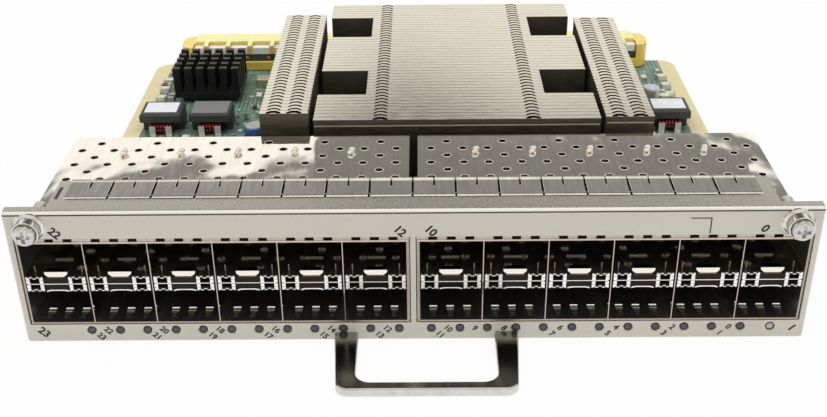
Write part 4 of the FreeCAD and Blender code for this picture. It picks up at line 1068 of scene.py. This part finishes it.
# Finger strip: thin bright spring strip, arched and slit into contact fingers along its rear edge.
# A folded rail at the front is welded to the panel's tongue.
CELLS = 16
SLIT = 0.5
HALF_SLIT = 0.46
HALF_SLIT_SHARE = 0.42
RAIL = 1.2
RAIL_SPLIT = 0.7
ARCH_STEPS = 14
STRIP_T = 0.12
STRIP_FOOT = 0.04
CURL = 0.05
FRONT_ROLL_H = 0.2
FRONT_ROLL_SHARE = 0.09
CELL_RISE = 0.13
REAR_LIP_SHARE = 0.86
REAR_LIP_TOP_SHARE = 0.96
REAR_LIP_H = 0.2
SLIT_SHADOW_T = 0.05
SLIT_SHADOW_INSET = 0.2
finger_metal = tinned_sheet("finger_metal", (0.80, 0.78, 0.73, 1), (0.94, 0.92, 0.87, 1), 0.06, 0.13,
                            metallic=0.9)
strip_low, strip_high = box_mm("finger_strip")
strip_span = strip_high.y - strip_low.y


def arch_z(share):
    """Height of the arch at a share of its depth from the front."""
    roll = math.sqrt(max(0, 1 - (1 - min(1, share / FRONT_ROLL_SHARE)) ** 2))
    lip = min(1, max(0, (share - REAR_LIP_SHARE) / (REAR_LIP_TOP_SHARE - REAR_LIP_SHARE)))
    foot = strip_low.z + STRIP_T + STRIP_FOOT
    return foot + FRONT_ROLL_H * roll + CELL_RISE * share + REAR_LIP_H * lip


def add_arch(bm, x0, x1, first, last):
    """Part of the arched strip, its slit edges curled down."""
    rows = []
    for i in range(ARCH_STEPS + 1):
        share = first + (last - first) * i / ARCH_STEPS
        y, z = strip_low.y + strip_span * share, arch_z(share)
        spots = ((x0, y, z - CURL), (x0 + CURL, y, z), (x1 - CURL, y, z), (x1, y, z - CURL))
        rows.append([bm.verts.new(spot) for spot in spots])
    for near, far in zip(rows, rows[1:]):
        for k in range(3):
            bm.faces.new((near[k], near[k + 1], far[k + 1], far[k]))


strip = bmesh.new()
cell_w = (strip_high.x - strip_low.x) / CELLS
rail = RAIL / strip_span
root = 1 - HALF_SLIT_SHARE
for i in range(CELLS):
    x0 = strip_low.x + i * cell_w + (SLIT / 2 if i else 0)
    x1 = strip_low.x + (i + 1) * cell_w - (SLIT / 2 if i < CELLS - 1 else 0)
    middle = (x0 + x1) / 2
    add_arch(strip, x0, x1, rail, root)
    add_arch(strip, x0, middle - HALF_SLIT / 2, root, 1.0)
    add_arch(strip, middle + HALF_SLIT / 2, x1, root, 1.0)
    add_arch(strip, x0, x1, 0.0, rail * RAIL_SPLIT)
add_arch(strip, strip_low.x, strip_high.x, rail * RAIL_SPLIT, rail)
strip.normal_update()
bmesh.ops.solidify(strip, geom=strip.faces[:], thickness=STRIP_T)
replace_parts(make_piece("contact_fingers", strip, [finger_metal]), "finger_strip")
# A black sheet under the strip, as painted shadow seen through the slits.
slit_shadow_sheet = bmesh.new()
add_block(slit_shadow_sheet, (strip_low.x + SLIT_SHADOW_INSET, strip_low.y + SLIT_SHADOW_INSET, strip_low.z),
          (strip_high.x - SLIT_SHADOW_INSET, strip_high.y - SLIT_SHADOW_INSET, strip_low.z + SLIT_SHADOW_T))
make_piece("finger_slit_shadow", slit_shadow_sheet, [socket_black_and_shadow])

# Captive screws: a turned and plated sleeve pressed into the panel, a domed cross-recess screw
# that stays in it, and the spring that keeps the screw drawn out.
# The screw's end has a rolled thread.
INWARD = Vector((0, 1, 0))
TURNED_STEPS = 48
SLEEVE_MOUTH = [(2.5, 0.12), (2.58, 0.0), (2.72, 0.0), (2.85, 0.14)]
SLEEVE_R = 2.85
SLEEVE_BORE = 2.5
SLEEVE_LEDGE = 0.3
SLEEVE_TAIL_R = 2.5
SLEEVE_TAIL_EASE = 0.1
SPRING_BORE = 2.1
SHANK_BORE = 1.3
SLEEVE_FLOOR_T = 1.2
FLANGE_ROUND = ((0.25, 0.75), (0.0, 0.45))
FLANGE_T = 1.0
HEAD_STEPS = 40
DOME_H = 0.75
DOME_STEPS = 8
HEAD_H = 2.0
HEAD_EASE = 0.1
SHANK_R = 1.2
THREAD_L = 7.0
THREAD_RIDGES = 12
THREAD_PITCH = 0.5
THREAD_START = 0.1
THREAD_ROOT_R = 1.28
THREAD_R = 1.5
POINT_L = 0.6
POINT_R = 0.9
CROSS_W = 0.8
CROSS_L = 2.9
CROSS_DEPTH = 1.0
SCREW_WIRE_R = 0.175
turned_plate = plated_steel("turned_plate", (0.62, 0.61, 0.59, 1), (0.86, 0.85, 0.83, 1), 0.16)
screw_plate = plated_steel("screw_plate", (0.46, 0.45, 0.43, 1), (0.74, 0.73, 0.71, 1), 0.18)


def dome(radius, height, steps):
    """Domed end of a turned form, from its middle to its side."""
    bend = [math.pi / 2 * k / steps for k in range(steps + 1)]
    return [(radius * math.sin(a), height * (1 - math.cos(a))) for a in bend]


def carve(piece, cutter_bm):
    """Cut a shape drawn in millimetres out of a piece."""
    bmesh.ops.scale(cutter_bm, vec=(MM, MM, MM), verts=cutter_bm.verts)
    bmesh.ops.recalc_face_normals(cutter_bm, faces=cutter_bm.faces)
    mesh = bpy.data.meshes.new("cutter")
    cutter_bm.to_mesh(mesh)
    cutter_bm.free()
    cutter = bpy.data.objects.new("cutter", mesh)
    bpy.context.scene.collection.objects.link(cutter)
    cut = piece.modifiers.new("cut", "BOOLEAN")
    cut.operation = "DIFFERENCE"
    cut.object = cutter
    depsgraph = bpy.context.evaluated_depsgraph_get()
    carved = bpy.data.meshes.new_from_object(piece.evaluated_get(depsgraph))
    piece.modifiers.clear()
    piece.data = carved
    bpy.data.objects.remove(cutter)


for side in ("left", "right"):
    low, high = box_mm(side + "_screw_ferrule")
    axis_x, axis_z = (low.x + high.x) / 2, (low.z + high.z) / 2
    flange_r = (high.x - low.x) / 2
    flange = film_high.y - low.y
    tail = high.y - low.y
    seat = tail - SLEEVE_FLOOR_T
    ledge = flange - SLEEVE_LEDGE
    profile = [(SPRING_BORE, ledge), (SLEEVE_BORE, ledge)] + SLEEVE_MOUTH + [(SLEEVE_R, flange - FLANGE_T)]
    profile += [(flange_r - dr, flange - dy) for dr, dy in FLANGE_ROUND]
    profile += [(flange_r, flange), (SLEEVE_TAIL_R, flange), (SLEEVE_TAIL_R, tail - SLEEVE_TAIL_EASE),
                (SLEEVE_TAIL_R - SLEEVE_TAIL_EASE, tail), (SHANK_BORE, tail), (SHANK_BORE, seat),
                (SPRING_BORE, seat), (SPRING_BORE, ledge)]
    sleeve = bmesh.new()
    add_turned(sleeve, profile, (axis_x, low.y, axis_z), INWARD, steps=TURNED_STEPS)
    piece = sharp_where_steep(make_piece(side + "_screw_sleeve", sleeve, [turned_plate]))
    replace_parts(piece, side + "_screw_ferrule")

    low, high = box_mm(side + "_captive_screw")
    head_r = (high.x - low.x) / 2
    length = high.y - low.y
    thread = length - THREAD_L
    profile = dome(head_r, DOME_H, DOME_STEPS)
    profile += [(head_r, HEAD_H - HEAD_EASE), (head_r - HEAD_EASE, HEAD_H),
                (SHANK_R, HEAD_H), (SHANK_R, thread)]
    for k in range(THREAD_RIDGES):
        at = thread + THREAD_START + k * THREAD_PITCH
        profile += [(THREAD_ROOT_R, at), (THREAD_R, at + THREAD_PITCH / 2)]
    profile += [(THREAD_ROOT_R, length - POINT_L), (POINT_R, length), (0.0, length)]
    screw = bmesh.new()
    add_turned(screw, profile, (axis_x, low.y, axis_z), INWARD, steps=HEAD_STEPS)
    piece = make_piece(side + "_domed_screw", screw, [screw_plate], body=side + "_screw")
    for half_x, half_z in ((CROSS_L / 2, CROSS_W / 2), (CROSS_W / 2, CROSS_L / 2)):
        cross = bmesh.new()
        add_block(cross, (axis_x - half_x, low.y - CROSS_DEPTH, axis_z - half_z),
                  (axis_x + half_x, low.y + CROSS_DEPTH, axis_z + half_z))
        carve(piece, cross)
    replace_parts(sharp_where_steep(piece), side + "_captive_screw")

    low, high = box_mm(side + "_screw_spring")
    wire = bmesh.new()
    add_spring(wire, low, high, SCREW_WIRE_R, 1)
    piece = make_piece(side + "_screw_coil", wire, [spring_wire], smooth=True)
    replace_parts(piece, side + "_screw_spring")
    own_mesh(piece)

# Pull handle: a U cut from flat steel bar, with polished edges and its top face darker as painted shade.
# It is riveted through the panel's foot.
SHADED_TOP_UP = 0.95


def handle_steel():
    """Bright sheared edges round a top face painted darker as painted shade."""
    finish, shader, place = start_finish("handle_steel", 0.2, 1.0)
    grain = cloud(place, 2.5)
    # Faces looking straight up get the darker copy of the steel as painted shade.
    shaded_top = sums("GREATER_THAN", facing_axes(place)[2], SHADED_TOP_UP)
    edges = shades(grain, (0.60, 0.60, 0.58, 1), (0.72, 0.72, 0.70, 1))
    face = shades(grain, (0.33, 0.33, 0.31, 1), (0.42, 0.42, 0.40, 1))
    paint(shader, painted_over(shaded_top, edges, face))
    uneven_gloss(shader, grain, 0.16, 0.24)
    relief(shader, grain, 0.006)
    return finish


dress(handle_steel(), "handle")

# Lamps: smoked light pipes that end flush with the film, each in a darker ring.
# The last one, at the right, is the clear status lamp.
RING_W = 0.18
RING_SUNK = 0.05
LENS_H = 0.18
LENS_RINGS = 6
LENS_STEPS = 24
smoked = grained_finish("smoked_lens", (0.075, 0.075, 0.072), 0.3, grain=0.8)
frosted = grained_finish("frosted_lens", (0.50, 0.50, 0.49), 0.3, grain=0.8)
ring_black = grained_finish("lamp_ring", (0.015, 0.015, 0.015), 0.4, grain=0.5)
for node, name, glass in (("port_lamps", "lamp_lenses", smoked), ("status_lamp", "status_lens", frosted)):
    lamps = bmesh.new()
    for low, high in solid_boxes(node):
        spot = ((low.x + high.x) / 2, low.y, (low.z + high.z) / 2)
        radius = (high.x - low.x) / 2
        lens_r = radius - RING_W
        deep = high.y - low.y
        ring = [(lens_r, LENS_H), (lens_r, RING_SUNK), (radius, RING_SUNK), (radius, deep), (0.0, deep)]
        add_turned(lamps, dome(lens_r, LENS_H, LENS_RINGS), spot, INWARD, 0, LENS_STEPS)
        add_turned(lamps, ring, spot, INWARD, 1, LENS_STEPS)
    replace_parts(sharp_where_steep(make_piece(name, lamps, [glass, ring_black])), node)

# Rear connectors and their guard: press-fit housings in white and dark green moulding with copper
# contacts, and a clear yellow cover that clips over them for transport.
# The cover's roof and upper faces are painted lighter than its other faces, as painted light.
WHITE_TOP_H = 2.2
CONTACT_PITCH = 7.2
CONTACT_MARGIN = 2
CONTACT_R = 0.5
CONTACT_DROP = 3.4
CONTACT_DOME = [(0.0, -0.18), (0.7 * CONTACT_R, -0.15), (CONTACT_R, 0.0)]
CONTACT_STEPS = 16
LIT_ROOF_BAND = 0.4


def connector_moulding():
    """Dark green moulding with a white top."""
    finish, shader, place = start_finish("connector_moulding", 0.5, 0.0)
    top_z = box_mm("backplane_connectors")[1].z
    pale = sums("GREATER_THAN", axes_of(place)[2], (top_z - WHITE_TOP_H) * MM)
    fine = cloud(place, 1.2)
    dark = shades(fine, (0.030, 0.055, 0.045, 1), (0.050, 0.080, 0.066, 1))
    white = shades(fine, (0.88, 0.88, 0.88, 1), (0.94, 0.94, 0.94, 1))
    paint(shader, painted_over(pale, dark, white))
    relief(shader, fine, 0.01)
    return finish


def amber_cover():
    """Clear amber plastic, painted yellow on its roof and golden on its other upper faces as painted light, and
    amber below as painted shade.
    """
    finish, shader, place = start_finish("amber_cover", 0.28, 0.0)
    top_z = box_mm("connector_cover")[1].z
    roof = sums("GREATER_THAN", axes_of(place)[2], (top_z - LIT_ROOF_BAND) * MM)
    lit_upward = sums("GREATER_THAN", facing_axes(place)[2], FLAT_UP)
    fine = cloud(place, 5.0)
    amber = shades(fine, (0.85, 0.58, 0.08, 1), (0.89, 0.63, 0.11, 1))
    golden = shades(fine, (0.92, 0.74, 0.17, 1), (0.95, 0.78, 0.21, 1))
    yellow = shades(fine, (0.98, 0.93, 0.38, 1), (1.0, 0.96, 0.45, 1))
    paint(shader, painted_over(roof, painted_over(lit_upward, amber, golden), yellow))
    shader.inputs["Subsurface Weight"].default_value = 0.15
    shader.inputs["Subsurface Radius"].default_value = (0.004, 0.003, 0.001)
    uneven_gloss(shader, fine, 0.22, 0.34)
    relief(shader, cloud(place, 1.0), 0.004)
    return finish


copper = grained_finish("contact_copper", (0.72, 0.34, 0.20), 0.3, 1.0, grain=0.4)
dress(connector_moulding(), "backplane_connectors")
dress(amber_cover(), "connector_cover")
contacts = bmesh.new()
for low, high in solid_boxes("backplane_connectors"):
    for x in spaced(low, high, CONTACT_PITCH, CONTACT_MARGIN):
        add_turned(contacts, CONTACT_DOME, (x, low.y, high.z - CONTACT_DROP), INWARD, steps=CONTACT_STEPS)
make_piece("connector_contacts", contacts, [copper], smooth=True)

# Studio: a pale floor, two soft boxes and a plain room that only the bright metal mirrors.
# The floor shows white to the camera and keeps a soft shadow of the card.
WHITE = (1, 1, 1, 1)
ROOM_LIGHT = 0.5
ROOM_TINT = (1, 0.97, 0.89)
REAR_WALL = (0.45, 0.68)
REAR_SHADES = ((0.0, 1.08), (0.37, 1.08), (0.408, 1.06), (0.418, 0.26), (0.46, 0.23), (0.51, 0.20),
               (0.57, 0.07), (0.68, 0.04), (0.74, 0.5), (0.80, 0.95), (0.95, 1.0))
SIDE_SHADES = ((0.0, 0.95), (0.25, 0.9), (0.42, 0.78), (0.62, 0.72), (0.80, 0.82), (0.90, 0.92), (0.97, 0.95))
WALL_LIFTS = (("LESS_THAN", -0.095, 0.038), ("GREATER_THAN", 0.155, 0.007), ("GREATER_THAN", 0.285, 0.03))
WALL_WOBBLE = 0.08
WOBBLE_SCALE = 7.0
FLOOR_HALF = 2.5
FLOOR_DROP = -0.0001
FLOOR_COLOUR = (0.93, 0.93, 0.92, 1)
FLOOR_GLOW = 0.9
CAMERA_PLACE = Vector((2.13, -213.06, 155.28))
CAMERA_TILT = math.radians(29.681)
CAMERA_ROLL = math.radians(-0.671)
CAMERA_YAW = math.radians(0.515)
FOCAL_PIXELS = 1137.0
IMAGE_WIDTH = 827
SENSOR = 36.0
NEAREST = 0.01

world = bpy.data.worlds.new("studio")
bpy.context.scene.world = world
world.use_nodes = True
room_tree = world.node_tree
light = room_tree.nodes["Background"]
light.inputs["Color"].default_value = WHITE
light.inputs["Strength"].default_value = ROOM_LIGHT
way_x, way_y, height = axes_of(add_node(room_tree, "ShaderNodeTexCoord").outputs["Generated"])
for where, edge, lift in WALL_LIFTS:
    height = sums("SUBTRACT", height, sums("MULTIPLY", sums(where, way_x, edge), lift))
wobble = add_node(room_tree, "ShaderNodeTexNoise", {"Scale": WOBBLE_SCALE}).outputs["Fac"]
wobble = sums("MULTIPLY", sums("SUBTRACT", wobble, 0.5), WALL_WOBBLE)
height = sums("ADD", height, wobble)
walls = []
for wall_shades in (SIDE_SHADES, REAR_SHADES):
    wall = add_node(room_tree, "ShaderNodeValToRGB", {"Fac": height})
    stops = wall.color_ramp.elements
    for at, shade in wall_shades:
        stops.new(at).color = tuple(shade * tint for tint in ROOM_TINT) + (1,)
    stops.remove(stops[0])
    stops.remove(stops[-1])
    walls.append(wall.outputs["Color"])
rear_share = {"From Min": REAR_WALL[0], "From Max": REAR_WALL[1], "Value": way_y}
behind = add_node(room_tree, "ShaderNodeMapRange", rear_share).outputs["Result"]
room_colour = painted_over(behind, walls[0], walls[1])
room = add_node(room_tree, "ShaderNodeBackground", {"Color": room_colour, "Strength": 1.0})
plain_sky = add_node(room_tree, "ShaderNodeBackground", {"Color": WHITE, "Strength": 1.0})
rays = add_node(room_tree, "ShaderNodeLightPath").outputs
by_gloss = add_node(room_tree, "ShaderNodeMixShader",
                    {0: rays["Is Glossy Ray"], 1: light.outputs[0], 2: room.outputs[0]})
seen = sums("MAXIMUM", rays["Is Camera Ray"], rays["Is Transmission Ray"])
sky = add_node(room_tree, "ShaderNodeMixShader", {0: seen, 1: by_gloss.outputs[0], 2: plain_sky.outputs[0]})
feed(sky.outputs[0], room_tree.nodes["World Output"].inputs["Surface"])

floor_finish = bpy.data.materials.new("studio_floor")
floor_finish.use_nodes = True
floor_tree = floor_finish.node_tree
floor_tree.nodes.remove(floor_tree.nodes["Principled BSDF"])
matt = add_node(floor_tree, "ShaderNodeBsdfDiffuse", {"Color": FLOOR_COLOUR})
glow = add_node(floor_tree, "ShaderNodeEmission", {"Color": WHITE, "Strength": 1.0})
rays = add_node(floor_tree, "ShaderNodeLightPath").outputs
seen = sums("MAXIMUM", rays["Is Camera Ray"], rays["Is Glossy Ray"])
seen = sums("MAXIMUM", seen, rays["Is Transmission Ray"])
share = sums("MULTIPLY", seen, FLOOR_GLOW)
blend = add_node(floor_tree, "ShaderNodeMixShader", {0: share, 1: matt.outputs[0], 2: glow.outputs[0]})
feed(blend.outputs[0], floor_tree.nodes["Material Output"].inputs["Surface"])
corners = [(x * FLOOR_HALF, y * FLOOR_HALF, FLOOR_DROP) for x, y in ((-1, -1), (1, -1), (1, 1), (-1, 1))]
floor_mesh = bpy.data.meshes.new("studio_floor")
floor_mesh.from_pydata(corners, [], [(0, 1, 2, 3)])
floor_mesh.materials.append(floor_finish)
floor = bpy.data.objects.new("studio_floor", floor_mesh)
bpy.context.scene.collection.objects.link(floor)


def add_softbox(name, place, aim, size, watts):
    """Soft box that lights the card and isn't mirrored in its metal."""
    lamp = bpy.data.lights.new(name, "AREA")
    lamp.shape = "RECTANGLE"
    lamp.size, lamp.size_y = size
    lamp.energy = watts
    box = bpy.data.objects.new(name, lamp)
    box.location = place
    box.rotation_euler = (Vector(aim) - Vector(place)).to_track_quat("-Z", "Y").to_euler()
    box.visible_glossy = False
    bpy.context.scene.collection.objects.link(box)


add_softbox("key_softbox", (-0.1, -0.1, 1.0), (0, 0.06, 0), (1.5, 0.6), 6.8)
add_softbox("fill_softbox", (0.8, -0.45, 0.55), (0, 0.05, 0), (0.5, 0.5), 0.8)

level = Vector((math.cos(CAMERA_YAW), math.sin(CAMERA_YAW), 0))
ahead = math.cos(CAMERA_TILT) * UP.cross(level) - math.sin(CAMERA_TILT) * UP
down = ahead.cross(level)
right = math.cos(CAMERA_ROLL) * level - math.sin(CAMERA_ROLL) * down
down = math.sin(CAMERA_ROLL) * level + math.cos(CAMERA_ROLL) * down
lens = bpy.data.cameras.new("camera")
lens.sensor_width = SENSOR
lens.lens = SENSOR * FOCAL_PIXELS / IMAGE_WIDTH
lens.clip_start = NEAREST
camera = bpy.data.objects.new("camera", lens)
turn = Matrix((right, -down, -ahead)).transposed()
camera.matrix_world = Matrix.Translation(CAMERA_PLACE * MM) @ turn.to_4x4()
bpy.context.scene.collection.objects.link(camera)
bpy.context.scene.camera = camera
bpy.context.scene.view_settings.view_transform = "Standard"
